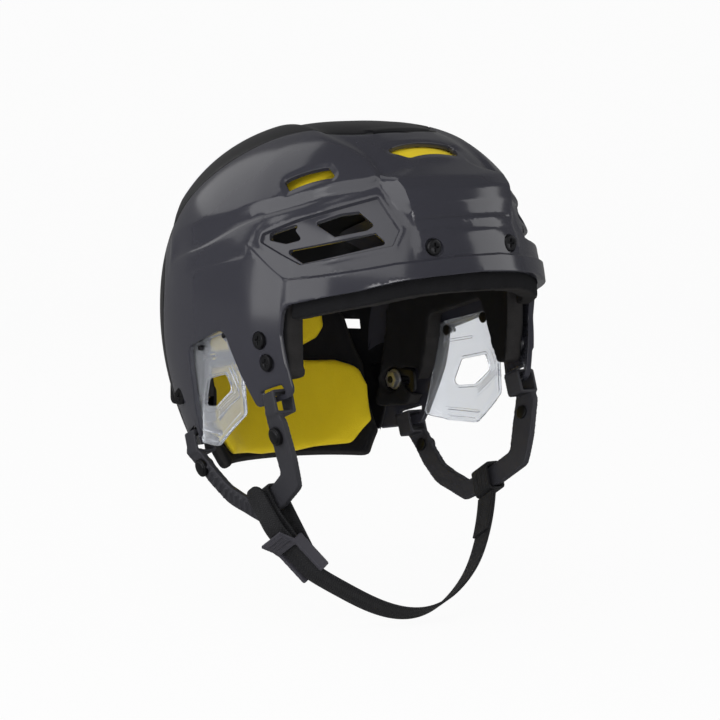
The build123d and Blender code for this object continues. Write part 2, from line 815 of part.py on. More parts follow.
with BuildPart() as left_crown_pad:
    mirror(right_crown_pad.part, about=Plane.YZ)
left_crown_pad.part.label = "left_crown_pad"
export_step(left_crown_pad.part, "parts/left_crown_pad.step")

with BuildPart() as right_side_liner:
    loft(sections=dome(side_liner_inset))
    loft(sections=dome(side_liner_inset + side_liner_thickness), mode=Mode.SUBTRACT)
    extrude(
        outline(Plane.YZ, [side(*pair) for pair in side_liner_shares], liner_corner),
        amount=-far_side,
        mode=Mode.INTERSECT,
    )
    extrude(
        discs(Plane.YZ.offset(pocket_gap - temple_end_x), temple_screws_at, boss_radius + pocket_gap),
        amount=-far_side,
        mode=Mode.SUBTRACT,
    )
    extrude(discs(Plane.YZ, adjuster_at, boss_radius + pocket_gap), amount=-far_side, mode=Mode.SUBTRACT)
    with BuildSketch(Plane.YZ.offset(pocket_gap - arm_back_x)) as channel:
        with Locations(((arm_front_y + arm_back_y) / 2, adjuster_z)):
            Rectangle(arm_back_y - arm_front_y + 2 * pocket_gap, arm_height + 2 * pocket_gap)
    extrude(amount=-far_side, mode=Mode.SUBTRACT)
right_side_liner.part.label = "right_side_liner"
export_step(right_side_liner.part, "parts/right_side_liner.step")

with BuildPart() as left_side_liner:
    mirror(right_side_liner.part, about=Plane.YZ)
left_side_liner.part.label = "left_side_liner"
export_step(left_side_liner.part, "parts/left_side_liner.step")

with BuildPart() as rear_liner:
    loft(sections=dome(rear_liner_inset))
    loft(sections=dome(rear_liner_inset + rear_liner_thickness), mode=Mode.SUBTRACT)
    extrude(
        outline(Plane.XZ, [front(*pair) for pair in rear_liner_shares], liner_corner),
        amount=-far_side,
        mode=Mode.INTERSECT,
    )
rear_liner.part.label = "rear_liner"
export_step(rear_liner.part, "parts/rear_liner.step")

rear_pad_inset = rear_liner_inset + rear_liner_thickness + pad_gap

with BuildPart() as occipital_pad:
    loft(sections=dome(rear_pad_inset))
    loft(sections=dome(rear_pad_inset + rear_pad_thickness), mode=Mode.SUBTRACT)
    extrude(
        outline(Plane.XZ, [front(*pair) for pair in occipital_pad_shares], liner_corner),
        amount=-far_side,
        mode=Mode.INTERSECT,
    )
occipital_pad.part.label = "occipital_pad"
export_step(occipital_pad.part, "parts/occipital_pad.step")

with BuildPart() as right_upper_rear_pad:
    loft(sections=dome(rear_pad_inset))
    loft(sections=dome(rear_pad_inset + rear_pad_thickness), mode=Mode.SUBTRACT)
    extrude(
        outline(Plane.XZ, mirrored([front(*pair) for pair in upper_pad_shares]), liner_corner),
        amount=-far_side,
        mode=Mode.INTERSECT,
    )
right_upper_rear_pad.part.label = "right_upper_rear_pad"
export_step(right_upper_rear_pad.part, "parts/right_upper_rear_pad.step")

with BuildPart() as left_upper_rear_pad:
    mirror(right_upper_rear_pad.part, about=Plane.YZ)
left_upper_rear_pad.part.label = "left_upper_rear_pad"
export_step(left_upper_rear_pad.part, "parts/left_upper_rear_pad.step")

# Clear ear guards
guard_rim = outline(Plane.YZ, guard_points, guard_corner)
guard_field = offset(guard_rim, amount=-guard_bead_width)
guard_foot = Plane.XY.offset(widest_z - skirt_drop)

with BuildPart() as guard_bead_ring:
    extrude(guard_rim, amount=-far_side)
    extrude(guard_field, amount=-far_side, mode=Mode.SUBTRACT)
    with BuildSketch(guard_foot) as bead_plan:
        with Locations((-guard_centre_x, guard_centre_y)):
            Circle(guard_arc - guard_wall / 2)
            Circle(guard_arc - guard_wall - guard_bead, mode=Mode.SUBTRACT)
    extrude(amount=guard_bead_rise, mode=Mode.INTERSECT)

with BuildPart() as guard_ridges:
    with BuildSketch(Plane.YZ) as ridge_side:
        for spread in ridge_spreads:
            with BuildLine():
                Polyline(*[spread_from(hole_middle, point, spread) for point in guard_hole[1:4]])
            trace(line_width=rib_width)
        with BuildLine():
            Line(side(*low_ridge_shares[0]), side(*low_ridge_shares[1]))
        trace(line_width=rib_width)
    extrude(amount=-far_side)
    with BuildSketch(guard_foot) as ridge_plan:
        with Locations((-guard_centre_x, guard_centre_y)):
            Circle(guard_arc + ridge_height)
            Circle(guard_arc - guard_wall / 2, mode=Mode.SUBTRACT)
    extrude(amount=2 * skirt_drop, mode=Mode.INTERSECT)

with BuildPart() as right_ear_guard:
    extrude(guard_rim, amount=-far_side)
    with BuildSketch(guard_foot) as guard_plan:
        with Locations((-guard_centre_x, guard_centre_y)):
            Circle(guard_arc)
            Circle(guard_arc - guard_wall, mode=Mode.SUBTRACT)
    extrude(amount=2 * skirt_drop, mode=Mode.INTERSECT)
    add(guard_bead_ring.part)
    add(guard_ridges.part)
    extrude(outline(Plane.YZ, guard_hole, guard_corner), amount=-far_side, mode=Mode.SUBTRACT)
    extrude(
        discs(Plane.YZ, rivets_at, rivet_radius + rivet_clearance),
        amount=-far_side,
        mode=Mode.SUBTRACT,
    )
right_ear_guard.part.label = "right_ear_guard"
export_step(right_ear_guard.part, "parts/right_ear_guard.step")

with BuildPart() as left_ear_guard:
    mirror(right_ear_guard.part, about=Plane.YZ)
left_ear_guard.part.label = "left_ear_guard"
export_step(left_ear_guard.part, "parts/left_ear_guard.step")

# Fasteners
with BuildPart() as ear_guard_rivets:
    for hand in (-1, 1):
        for y, z in rivets_at:
            head_x = guard_x(y, -rivet_head_radius) - guard_wall - seat_gap
            end_x = guard_x(y, rivet_boss_radius) + rivet_grip
            head_plane = Plane.YZ.offset(hand * head_x)
            extrude(discs(head_plane, [(y, z)], rivet_head_radius), amount=-hand * rivet_head_height)
            extrude(discs(head_plane, [(y, z)], rivet_radius), amount=hand * (end_x - head_x))
ear_guard_rivets.part.label = "ear_guard_rivets"
export_step(ear_guard_rivets.part, "parts/ear_guard_rivets.step")

with BuildPart() as front_screws:
    head_plane = Plane.XZ.offset(seat_gap - front_seat_y)
    end_y = front_nut_y + seat_gap + nut_height + screw_overrun
    extrude(discs(head_plane, front_screws_at, head_radius), amount=head_height)
    fillet(front_screws.edges().group_by(Axis.Y)[0], radius=head_round)
    extrude(discs(head_plane, front_screws_at, screw_radius), amount=front_seat_y - seat_gap - end_y)
    extrude(
        crosses(head_plane.offset(head_height), front_screws_at),
        amount=-cross_depth,
        mode=Mode.SUBTRACT,
    )
front_screws.part.label = "front_screws"
export_step(front_screws.part, "parts/front_screws.step")

with BuildPart() as front_nuts:
    nut_plane = Plane.XZ.offset(-front_nut_y - seat_gap)
    extrude(hexagons(nut_plane, front_screws_at), amount=-nut_height)
    extrude(
        discs(nut_plane, front_screws_at, screw_radius + nut_fit),
        amount=-nut_height,
        mode=Mode.SUBTRACT,
    )
front_nuts.part.label = "front_nuts"
export_step(front_nuts.part, "parts/front_nuts.step")

with BuildPart() as temple_screws:
    for hand in (-1, 1):
        for place, seat in zip(temple_screws_at, temple_seats):
            head_plane = Plane.YZ.offset(hand * (seat + seat_gap))
            extrude(discs(head_plane, [place], head_radius), amount=hand * head_height)
            extrude(
                discs(head_plane, [place], screw_radius),
                amount=-hand * (seat + seat_gap - temple_end_x),
            )
            extrude(
                crosses(head_plane.offset(hand * head_height), [place]),
                amount=-hand * cross_depth,
                mode=Mode.SUBTRACT,
            )
temple_screws.part.label = "temple_screws"
export_step(temple_screws.part, "parts/temple_screws.step")

with BuildPart() as temple_nuts:
    for hand in (-1, 1):
        nut_plane = Plane.YZ.offset(hand * (temple_nut_x - seat_gap))
        extrude(hexagons(nut_plane, temple_screws_at), amount=-hand * nut_height)
        extrude(
            discs(nut_plane, temple_screws_at, screw_radius + nut_fit),
            amount=-hand * nut_height,
            mode=Mode.SUBTRACT,
        )
temple_nuts.part.label = "temple_nuts"
export_step(temple_nuts.part, "parts/temple_nuts.step")

with BuildPart() as adjuster_screws:
    for hand in (-1, 1):
        head_plane = Plane.YZ.offset(hand * (adjuster_seat_x + seat_gap))
        extrude(discs(head_plane, adjuster_at, head_radius), amount=hand * head_height)
        extrude(
            discs(head_plane, adjuster_at, screw_radius),
            amount=-hand * (adjuster_seat_x + seat_gap - adjuster_end_x),
        )
        extrude(
            crosses(head_plane.offset(hand * head_height), adjuster_at),
            amount=-hand * cross_depth,
            mode=Mode.SUBTRACT,
        )
adjuster_screws.part.label = "adjuster_screws"
export_step(adjuster_screws.part, "parts/adjuster_screws.step")

with BuildPart() as adjuster_washers:
    for hand in (-1, 1):
        washer_plane = Plane.YZ.offset(hand * washer_x)
        extrude(discs(washer_plane, adjuster_at, washer_radius), amount=-hand * washer_height)
        extrude(
            discs(washer_plane, adjuster_at, hole_radius),
            amount=-hand * washer_height,
            mode=Mode.SUBTRACT,
        )
adjuster_washers.part.label = "adjuster_washers"
export_step(adjuster_washers.part, "parts/adjuster_washers.step")

with BuildPart() as adjuster_nuts:
    for hand in (-1, 1):
        nut_plane = Plane.YZ.offset(hand * adjuster_nut_x)
        extrude(hexagons(nut_plane, adjuster_at), amount=-hand * nut_height)
        extrude(
            discs(nut_plane, adjuster_at, screw_radius + nut_fit),
            amount=-hand * nut_height,
            mode=Mode.SUBTRACT,
        )
adjuster_nuts.part.label = "adjuster_nuts"
export_step(adjuster_nuts.part, "parts/adjuster_nuts.step")

# Harness: one moulded V each side, hung on the two lips under the strap slots
front_lip = Vector(-front_lip_x, front_lip_y, front_lip_z)
rear_lip = Vector(-rear_lip_x, rear_lip_y, rear_lip_z)
lip_line = rear_lip - front_lip
plate_front = front_lip - Vector(plate_offset, 0, plate_drop)
plate_rear = rear_lip - Vector(plate_offset, 0, plate_drop)
plate_tip = Vector(-tip_x, tip_y, tip_z)
plate_normal = (plate_tip - plate_front).cross(plate_rear - plate_front).normalized()
if plate_normal.X > 0:
    plate_normal = -plate_normal
plate_plane = Plane(origin=plate_front, x_dir=plate_rear - plate_front, z_dir=plate_normal)
snap_planes = []
for y_share, z_share in snap_shares:
    y = front_lip_y + y_share * crown_rise
    z = front_lip_z + z_share * crown_rise
    shift = (y - plate_front.Y) * plate_normal.Y + (z - plate_front.Z) * plate_normal.Z
    snap_x = plate_front.X - shift / plate_normal.X
    snap_planes.append(Plane(origin=(snap_x, y, z), x_dir=lip_line, z_dir=plate_normal))

with BuildPart() as right_harness:
    harness_points = [
        (front_lip_y + y_share * crown_rise, front_lip_z + z_share * crown_rise)
        for y_share, z_share in harness_shares
    ]
    extrude(outline(Plane.YZ, harness_points, harness_radii), amount=-far_side)
    with BuildSketch(plate_plane) as slab:
        Rectangle(2 * far_side, 2 * far_side)
    extrude(amount=harness_thickness / 2, both=True, mode=Mode.INTERSECT)
    for centre, width in ((front_lip, front_loop_width), (rear_lip, rear_loop_width)):
        with BuildSketch(Plane(origin=centre, x_dir=(1, 0, 0), z_dir=lip_line)) as loop:
            tall = loop_inner_top + loop_inner_bottom
            with Locations((0, (loop_inner_bottom - loop_inner_top) / 2)):
                RectangleRounded(
                    2 * (loop_inner_x + loop_thickness), tall + 2 * loop_thickness, loop_corner
                )
                Rectangle(2 * loop_inner_x, tall, mode=Mode.SUBTRACT)
        extrude(amount=width / 2, both=True)
    for plane in snap_planes:
        with BuildSketch(plane) as snap_hole:
            Circle(snap_pin_radius + screw_clearance)
        extrude(amount=harness_thickness, both=True, mode=Mode.SUBTRACT)
right_harness.part.label = "right_harness"
export_step(right_harness.part, "parts/right_harness.step")

with BuildPart() as left_harness:
    mirror(right_harness.part, about=Plane.YZ)
left_harness.part.label = "left_harness"
export_step(left_harness.part, "parts/left_harness.step")

with BuildPart() as right_snaps:
    for plane in snap_planes:
        outer_face = plane.offset(harness_thickness / 2 + seat_gap)
        inner_face = plane.offset(-harness_thickness / 2 - seat_gap)
        with BuildSketch(outer_face) as cap:
            Circle(snap_radius)
        extrude(amount=snap_height)
        with BuildSketch(outer_face.offset(snap_height)) as cap_top:
            Circle(snap_dome_radius)
        extrude(amount=snap_dome_height)
        with BuildSketch(outer_face) as pin:
            Circle(snap_pin_radius)
        extrude(amount=-harness_thickness - 2 * seat_gap)
        with BuildSketch(inner_face) as washer:
            Circle(snap_dome_radius)
        extrude(amount=-snap_flange_height)
right_snaps.part.label = "right_snaps"
export_step(right_snaps.part, "parts/right_snaps.step")

with BuildPart() as left_snaps:
    mirror(right_snaps.part, about=Plane.YZ)
left_snaps.part.label = "left_snaps"
export_step(left_snaps.part, "parts/left_snaps.step")

# Chin strap, drawn in the tilted plane its web hangs in
tilt = math.radians(web_tilt)
web_plane = Plane(
    origin=(0, web_plane_y, web_plane_z),
    x_dir=(1, 0, 0),
    z_dir=(0, -math.cos(tilt), math.sin(tilt)),
)
strap_points = [(x_share * half_width, w_share * half_width) for x_share, w_share in strap_shares]
ring_points_left = [(x_share * half_width, w_share * half_width) for x_share, w_share in ring_shares]
hitch_points = [(x_share * half_width, w_share * half_width) for x_share, w_share in hitch_shares]
rail_points = [(s_share * buckle_length, m_share * buckle_length) for s_share, m_share in rail_shares]
bar_points = [(s_share * buckle_length, m_share * buckle_length) for s_share, m_share in bar_shares]
tab_points = [(s_share * buckle_length, m_share * buckle_length) for s_share, m_share in tab_shares]


def strip(points, first=0.0, last=1.0, shift=0.0):
    """A strip of webbing along points, between two shares of their line, moved sideways."""
    curve = Spline(*points)
    sides = ([], [])
    for index in range(strip_steps):
        share = first + index * (last - first) / (strip_steps - 1)
        place, heading = curve @ share, curve % share
        for edge, step in zip(sides, (shift - web_thickness / 2, shift + web_thickness / 2)):
            edge.append((place.X - heading.Y * step, place.Y + heading.X * step))
    near, far = sides
    with BuildSketch(web_plane) as shape:
        with BuildLine():
            Spline(*near)
            Line(near[-1], far[-1])
            Spline(*reversed(far))
            Line(far[0], near[0])
        make_face()
    return shape.sketch


strap_side = strip(strap_points)
lap_side = strip(strap_points, lap_start_share, lap_end_share, -web_thickness - layer_gap)

with BuildPart() as chin_strap:
    with BuildSketch(web_plane) as ring_band:
        with BuildLine():
            FilletPolyline(*ring_points_left, radius=loop_corner, close=True)
        make_face()
        offset(amount=ring_thickness)
        with BuildLine():
            FilletPolyline(*ring_points_left, radius=loop_corner, close=True)
        make_face(mode=Mode.SUBTRACT)
    extrude(amount=web_width / 2, both=True)
    extrude(strap_side, amount=web_width / 2, both=True)
chin_strap.part.label = "chin_strap"
export_step(chin_strap.part, "parts/chin_strap.step")

with BuildPart() as strap_lap:
    extrude(lap_side, amount=web_width / 2, both=True)
strap_lap.part.label = "strap_lap"
export_step(strap_lap.part, "parts/strap_lap.step")

with BuildPart() as adjuster_strap:
    with BuildSketch(web_plane) as hitch_band:
        with BuildLine():
            FilletPolyline(*hitch_points, radius=hitch_radii, close=True)
        make_face()
        offset(amount=ring_thickness)
        with BuildLine():
            FilletPolyline(*hitch_points, radius=hitch_radii, close=True)
        make_face(mode=Mode.SUBTRACT)
    extrude(amount=web_width / 2, both=True)
adjuster_strap.part.label = "adjuster_strap"
export_step(adjuster_strap.part, "parts/adjuster_strap.step")

# Buckle, drawn across the strap: X runs down the strap, Y points away from the face
buckle_down = Vector(buckle_lean_share, -math.sqrt(1 - buckle_lean_share ** 2))
buckle_centre = web_plane.from_local_coords(
    (buckle_share[0] * half_width, buckle_share[1] * half_width, 0)
)
buckle_plane = Plane(
    origin=buckle_centre,
    x_dir=web_plane.x_dir * buckle_down.X + web_plane.y_dir * buckle_down.Y,
    z_dir=web_plane.z_dir * -1,
)

with BuildPart() as buckle:
    with BuildSketch(buckle_plane) as rail:
        with BuildLine():
            FilletPolyline(*rail_points, radius=rail_corner, close=True)
        make_face()
    extrude(amount=web_width / 2 + buckle_side_gap + buckle_rail, both=True)
    with BuildSketch(buckle_plane) as between_rails:
        Rectangle(2 * buckle_length, 2 * buckle_length)
    extrude(amount=web_width / 2 + buckle_side_gap, both=True, mode=Mode.SUBTRACT)
    with BuildSketch(buckle_plane) as bars:
        with Locations(*bar_points):
            Circle(buckle_bar)
    extrude(amount=web_width / 2 + buckle_side_gap + buckle_rail / 2, both=True)
    with BuildSketch(buckle_plane) as tab:
        with BuildLine():
            Polyline(*tab_points, close=True)
        make_face()
    extrude(amount=web_width / 2 + buckle_side_gap + buckle_rail, both=True)
buckle.part.label = "buckle"
export_step(buckle.part, "parts/buckle.step")

nodes = (
    front_shell, rear_shell, forehead_pad, brim_liner, crown_pad, right_crown_pad, left_crown_pad,
    right_side_liner, left_side_liner, rear_liner, occipital_pad, right_upper_rear_pad,
    left_upper_rear_pad, right_ear_guard, left_ear_guard, ear_guard_rivets, front_screws, front_nuts,
    temple_screws, temple_nuts, adjuster_screws, adjuster_washers, adjuster_nuts, right_harness,
    left_harness, right_snaps, left_snaps, chin_strap, strap_lap, adjuster_strap, buckle,
)
for node in nodes:
    solids = node.part.solids()
    print(node.part.label, len(solids), round(node.part.volume), node.part.is_valid)
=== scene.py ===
"""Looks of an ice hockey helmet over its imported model.

The shells are drawn on a chart of the dome: a flat map whose middle is the crown.
Lengths are millimetres in the shape code and metres in Blender.
"""
import math

import bmesh
import bpy
import numpy as np
from mathutils import Matrix, Vector
from mathutils.geometry import delaunay_2d_cdt
from mathutils.kdtree import KDTree


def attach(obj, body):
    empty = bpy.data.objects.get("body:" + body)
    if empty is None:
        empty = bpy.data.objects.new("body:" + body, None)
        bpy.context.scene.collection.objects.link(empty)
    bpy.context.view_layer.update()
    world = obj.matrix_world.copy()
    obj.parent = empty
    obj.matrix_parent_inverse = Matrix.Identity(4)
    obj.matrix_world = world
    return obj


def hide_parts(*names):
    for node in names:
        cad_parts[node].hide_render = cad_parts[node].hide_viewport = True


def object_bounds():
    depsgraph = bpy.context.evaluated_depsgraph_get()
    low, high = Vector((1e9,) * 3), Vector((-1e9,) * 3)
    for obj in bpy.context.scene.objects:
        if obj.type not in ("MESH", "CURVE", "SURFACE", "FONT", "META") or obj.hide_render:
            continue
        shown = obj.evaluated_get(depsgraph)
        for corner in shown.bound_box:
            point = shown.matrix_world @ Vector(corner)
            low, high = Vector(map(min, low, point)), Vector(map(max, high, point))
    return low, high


bl_info = {
    "name": "Ice hockey helmet",
    "version": (1, 0, 0),
    "blender": (4, 5, 0),
    "location": "View3D > Sidebar > Helmet",
    "description": "Builds the helmet's shells, liner, guards, straps and stage",
    "category": "Object",
}

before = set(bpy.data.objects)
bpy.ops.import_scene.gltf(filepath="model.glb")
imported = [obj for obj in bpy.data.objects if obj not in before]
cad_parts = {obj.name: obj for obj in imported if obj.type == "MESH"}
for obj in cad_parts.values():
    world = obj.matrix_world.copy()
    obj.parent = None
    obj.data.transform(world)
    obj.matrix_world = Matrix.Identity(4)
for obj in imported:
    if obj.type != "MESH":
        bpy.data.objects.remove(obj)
CAD_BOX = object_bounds()

MM = 0.001

# Dome
HALF_WIDTH = 103.0
FRONT_REACH = 119.0
REAR_REACH = 143.0
CROWN_RISE = 118.0
CENTRE_Y = -8.0
WIDEST_Z = -24.0
POWER = 2.25
FRONT_POWER = 2.0
REAR_POWER = 2.4
TAPER = 0.23
CHART_REACH = 170.0
SKIRT_PACE = 0.7
WALL = 3.2

# Recesses and grooves of the shells
WELL_DEPTH = 1.9
WELL_SLOPE = 0.8
SCREW_RECESS = 5.5
RECESS_SLOPE = 0.5
GROOVES = ((39.5, 35.0), (33.0, 33.0))
UPPER_Z = 30.0

# Laps under the seam: along Y from the seam, their front edge, rear edge and step, then their depths
SEAM_GAP = -1.2
LIP_BAND = (-9.0, 13.0, -2.0)
TONGUE_BAND = (-14.0, 6.0, 1.0)
LAP_BEARING, LAP_CLEAR, LAP_INNER = 2.9, 3.8, 5.6
LAP_SPACING = 5.0

# Outlines, as shares of the reaches and of the crown's rise
LOWER_EDGE = [
    (-1.30, 0.284), (-1.00, 0.284), (-0.866, 0.246), (-0.739, 0.195), (-0.605, 0.161),
    (-0.412, 0.110), (-0.395, -0.034), (-0.441, -0.340), (-0.205, -0.415), (0.0, -0.025),
    (0.287, -0.153), (0.294, -0.356), (0.345, -0.669), (0.559, -0.712), (0.80, -0.72),
    (1.35, -0.72), (1.35, -1.25), (-1.30, -1.25),
]
LOWER_RADII = [0, 0, 30, 30, 30, 7, 12, 7, 3.5, 9, 7, 12, 4, 10, 0, 0, 0, 0]
# The seam: from above down to the turn, then from the side below it
SEAM_TOP = [
    (0.0, -0.353), (0.243, -0.303), (0.350, -0.210), (0.398, -0.092), (0.447, 0.007),
    (0.505, 0.091), (0.612, 0.210), (0.689, 0.315), (0.738, 0.406), (0.777, 0.483),
    (0.806, 0.531), (0.835, 0.587),
]
SEAM_SIDE = [
    (0.500, 0.560), (0.531, 0.466), (0.699, 0.347), (0.629, 0.254), (0.587, 0.136),
    (0.594, 0.008), (0.608, -0.178), (0.580, -0.432), (0.545, -0.746), (0.545, -1.20),
]
TURN_Z = WIDEST_Z + 0.466 * CROWN_RISE
LOBE = [
    (0.369, -0.605), (0.369, -0.454), (0.388, -0.269), (0.369, -0.109), (0.291, 0.126),
    (0.233, 0.406), (0.214, 0.685), (0.233, 0.839), (0.485, 0.80), (0.70, 0.66),
    (0.883, 0.538), (0.913, 0.434), (0.942, 0.182), (0.893, -0.092), (0.767, -0.361),
    (0.553, -0.571), (0.417, -0.639),
]
BRIM = [
    (-0.922, 0.237), (-0.699, 0.288), (-0.485, 0.331), (-0.155, 0.364), (0.155, 0.364),
    (0.485, 0.331), (0.699, 0.288), (0.922, 0.237), (0.922, -0.20), (-0.922, -0.20),
]
BRIM_BACK = -0.37
PANEL = [
    (0.331, 0.485, -0.832, -0.950), (0.424, 0.485, -0.824, -0.933),
    (0.500, 0.437, -0.790, -0.908), (0.627, 0.437, -0.786, -0.878),
    (0.695, 0.427, -0.765, -0.845), (0.746, 0.369, -0.723, -0.790),
    (0.788, 0.214, -0.672, -0.693),
]
TOP_SLOT = [(-0.272, -0.479), (0.272, -0.479), (0.175, -0.580), (-0.175, -0.580)]
LOBE_SLOT = [(0.743, -0.223), (0.583, -0.395), (0.568, -0.450), (0.738, -0.269)]
WELL = [
    (-0.388, 0.458), (-0.165, 0.534), (0.087, 0.602), (0.291, 0.653), (0.398, 0.534),
    (0.437, 0.492), (0.408, 0.415), (-0.126, 0.314), (-0.243, 0.356), (-0.398, 0.415),
]
UPPER_FRONT_HOLE = [
    (-0.068, 0.525), (0.087, 0.572), (0.194, 0.585), (0.291, 0.520), (0.252, 0.496),
    (0.068, 0.462),
]
UPPER_REAR_HOLE = [
    (-0.350, 0.464), (-0.204, 0.508), (-0.165, 0.515), (-0.184, 0.485), (-0.136, 0.442),
    (-0.233, 0.419), (-0.345, 0.432),
]
LOWER_HOLE = [
    (-0.232, 0.382), (0.049, 0.434), (0.300, 0.482), (0.372, 0.430), (0.117, 0.375),
    (-0.117, 0.326),
]
VENT_TURN = math.radians(50)
REAR_VENTS = [(0.70, -0.05), (0.70, -0.16)]
REAR_VENT_HALF = (4.5, 3.0)
FRONT_SCREWS = [(-28.0, 24.0), (28.0, 24.0)]
SIDE_SCREWS = [(-40.0, -32.0), (-44.5, -45.0), (59.0, -75.0)]
STRAP_SLOT_LIPS = [(-48.0, -67.8), (50.0, -101.6)]
STRAP_SLOT_WIDTHS = [13.0, 12.0]

# Slotted arm of the rear shell, from the side: its outline, its slot, its outer face and its wall
ARM = [(40, -82.5), (88, -82.5), (88, -67.5), (40, -67.5)]
ARM_SLOT = [(44.3, -78), (62.2, -78), (62.2, -72), (44.3, -72)]
ARM_FACE = 77.3
ARM_WALL = 2.3

# Liner outlines: three seen from behind, then two from above
REAR_LINER = [
    (-0.60, -0.10), (-0.30, 0.12), (0.30, 0.12), (0.60, -0.10), (0.645, -0.36),
    (0.60, -0.70), (0.52, -0.83), (-0.52, -0.83), (-0.60, -0.70), (-0.645, -0.36),
]
OCCIPITAL_PAD = [
    (-0.49, -0.335), (0.49, -0.335), (0.575, -0.37), (0.585, -0.46), (0.545, -0.64),
    (0.43, -0.765), (0.13, -0.80), (-0.13, -0.80), (-0.43, -0.765), (-0.545, -0.64),
    (-0.585, -0.46), (-0.575, -0.37),
]
UPPER_PAD = [
    (0.12, -0.06), (0.455, -0.06), (0.46, -0.16), (0.42, -0.22), (0.34, -0.26), (0.12, -0.26),
]
CROWN_PAD = [
    (-0.25, -0.56), (0.25, -0.56), (0.31, -0.42), (0.31, 0.25), (0.22, 0.42), (-0.22, 0.42),
    (-0.31, 0.25), (-0.31, -0.42),
]
SIDE_CROWN_PAD = [
    (0.40, -0.37), (0.62, -0.30), (0.745, -0.14), (0.79, 0.05), (0.76, 0.26), (0.42, 0.30),
]

# Ear guard, from the side
GUARD = [
    (0.02, -0.030), (0.345, -0.130), (0.325, -0.60), (0.245, -0.638), (0.085, -0.635),
    (-0.115, -0.455), (-0.095, -0.27),
]
GUARD_HOLE = [(0.182, -0.305), (0.020, -0.262), (-0.025, -0.335), (0.091, -0.43), (0.231, -0.450)]
GUARD_RIVETS = [(-4.0, -32.0), (26.0, -42.0)]
GUARD_LINES = [[(0.07, -0.575), (0.30, -0.575)], [(0.12, -0.18), (0.31, -0.225)]]
GUARD_PLAN = [(0.925, -27.0), (0.954, 4.0), (0.868, 38.0)]
GUARD_WALL = 1.8
GUARD_SPACING = 2.2

# Rear arm of the harness: its two edges, as shares of the crown's rise behind the front slot
HARNESS_UPPER = [(0.314, -0.548), (0.441, -0.519), (0.551, -0.485), (0.653, -0.413), (0.735, -0.347)]
HARNESS_LOWER = [(0.330, -0.645), (0.460, -0.616), (0.600, -0.574), (0.712, -0.497), (0.785, -0.435)]

# Plane that the strap hangs in, and the strap's line on it as shares of the half width
WEB_TILT = math.radians(30)
WEB_HALF = 8.0
WEB_ORIGIN = Vector((0.0, -28.0, -130.0))
WEB_UP = Vector((0.0, math.sin(WEB_TILT), math.cos(WEB_TILT)))
WEB_ACROSS = Vector((0.0, -math.cos(WEB_TILT), math.sin(WEB_TILT)))
STRAP_LINE = [
    (0.760, -0.080), (0.699, -0.204), (0.583, -0.388), (0.461, -0.534), (0.311, -0.655),
    (0.155, -0.738), (0.0, -0.775), (-0.136, -0.767), (-0.330, -0.694), (-0.515, -0.573),
    (-0.621, -0.495), (-0.673, -0.447), (-0.723, -0.364), (-0.784, -0.265), (-0.835, -0.180),
    (-0.862, -0.078), (-0.882, 0.015), (-0.913, 0.092),
]
BUCKLE = (-0.723, -0.364)
BUCKLE_LEAN = 0.525
BUCKLE_LENGTH = 30.0

# Lines of the moulded surface, seen from the side: places, rise of the band below, width of the step
FOLD_LINES = [
    ([(0.54, 0.21), (0.43, 0.29), (0.18, 0.38), (-0.09, 0.51), (-0.36, 0.59), (-0.57, 0.67)], 0.9, 3.0),
    ([(0.57, 0.37), (0.30, 0.46), (0.02, 0.55), (-0.20, 0.61)], -0.7, 4.0),
    ([(0.32, 0.22), (0.10, 0.28), (-0.18, 0.35)], 0.35, 2.0),
    ([(-0.12, 0.40), (-0.20, 0.364), (-0.39, 0.25), (-0.45, 0.245)], 0.8, 2.0),
]

# Fabric pads: node, body, view, outline, mirrored, depth under the dome, thickness, edge radius
PADS = [
    ("crown_pad", "rear", "above", CROWN_PAD, False, 5.9, 9.5, 5.0),
    ("right_crown_pad", "front", "above", SIDE_CROWN_PAD, True, 6.5, 8.5, 5.0),
    ("left_crown_pad", "front", "above", SIDE_CROWN_PAD, False, 6.5, 8.5, 5.0),
    ("occipital_pad", "rear", "behind", OCCIPITAL_PAD, False, 17.3, 6.5, 4.0),
    ("right_upper_rear_pad", "rear", "behind", UPPER_PAD, True, 17.3, 6.5, 3.5),
    ("left_upper_rear_pad", "rear", "behind", UPPER_PAD, False, 17.3, 6.5, 3.5),
]

# Fasteners: node, finish, edge radius
FASTENERS = [
    ("front_screws", "dark_metal", 0.55), ("front_nuts", "steel", 0.3), ("temple_screws", "dark_metal", 0.55),
    ("temple_nuts", "steel", 0.3), ("adjuster_screws", "dark_metal", 0.55),
    ("adjuster_washers", "steel", 0.2), ("adjuster_nuts", "steel", 0.3),
]

# Studio: lamps by name, place, size and power, the backdrop, and how bright it looks to each kind of ray
LAMPS = [
    ("key", (-1.5, -1.3, 1.7), 2.4, 24.0), ("fill", (1.5, -1.1, 0.5), 1.2, 7.0),
    ("back", (-0.6, 1.6, 1.3), 1.6, 6.0), ("side", (-2.1, 0.3, 0.5), 2.0, 22.0),
    ("low", (-1.1, -1.7, -0.25), 0.9, 13.0),
]
SEEN_WHITE = 0.94
WORLD_LEVEL = 0.34
WORLD_IN_GLOSS = 0.1
FLOOR_IN_GLOSS = 0.16
FLOOR_START, FLOOR_RUN, BEND, WALL_RISE = -2.6, 4.6, 0.9, 2.2
CAMERA_TARGET = Vector((-0.0010, -0.0061, -0.0525))


def side(y_share, z_share):
    """A place seen from the side, Y then Z, from its shares."""
    reach = FRONT_REACH if y_share < 0 else REAR_REACH
    return CENTRE_Y + y_share * reach, WIDEST_Z + z_share * CROWN_RISE


def front(x_share, z_share):
    """A place seen from the front, X then Z, from its shares."""
    return x_share * HALF_WIDTH, WIDEST_Z + z_share * CROWN_RISE


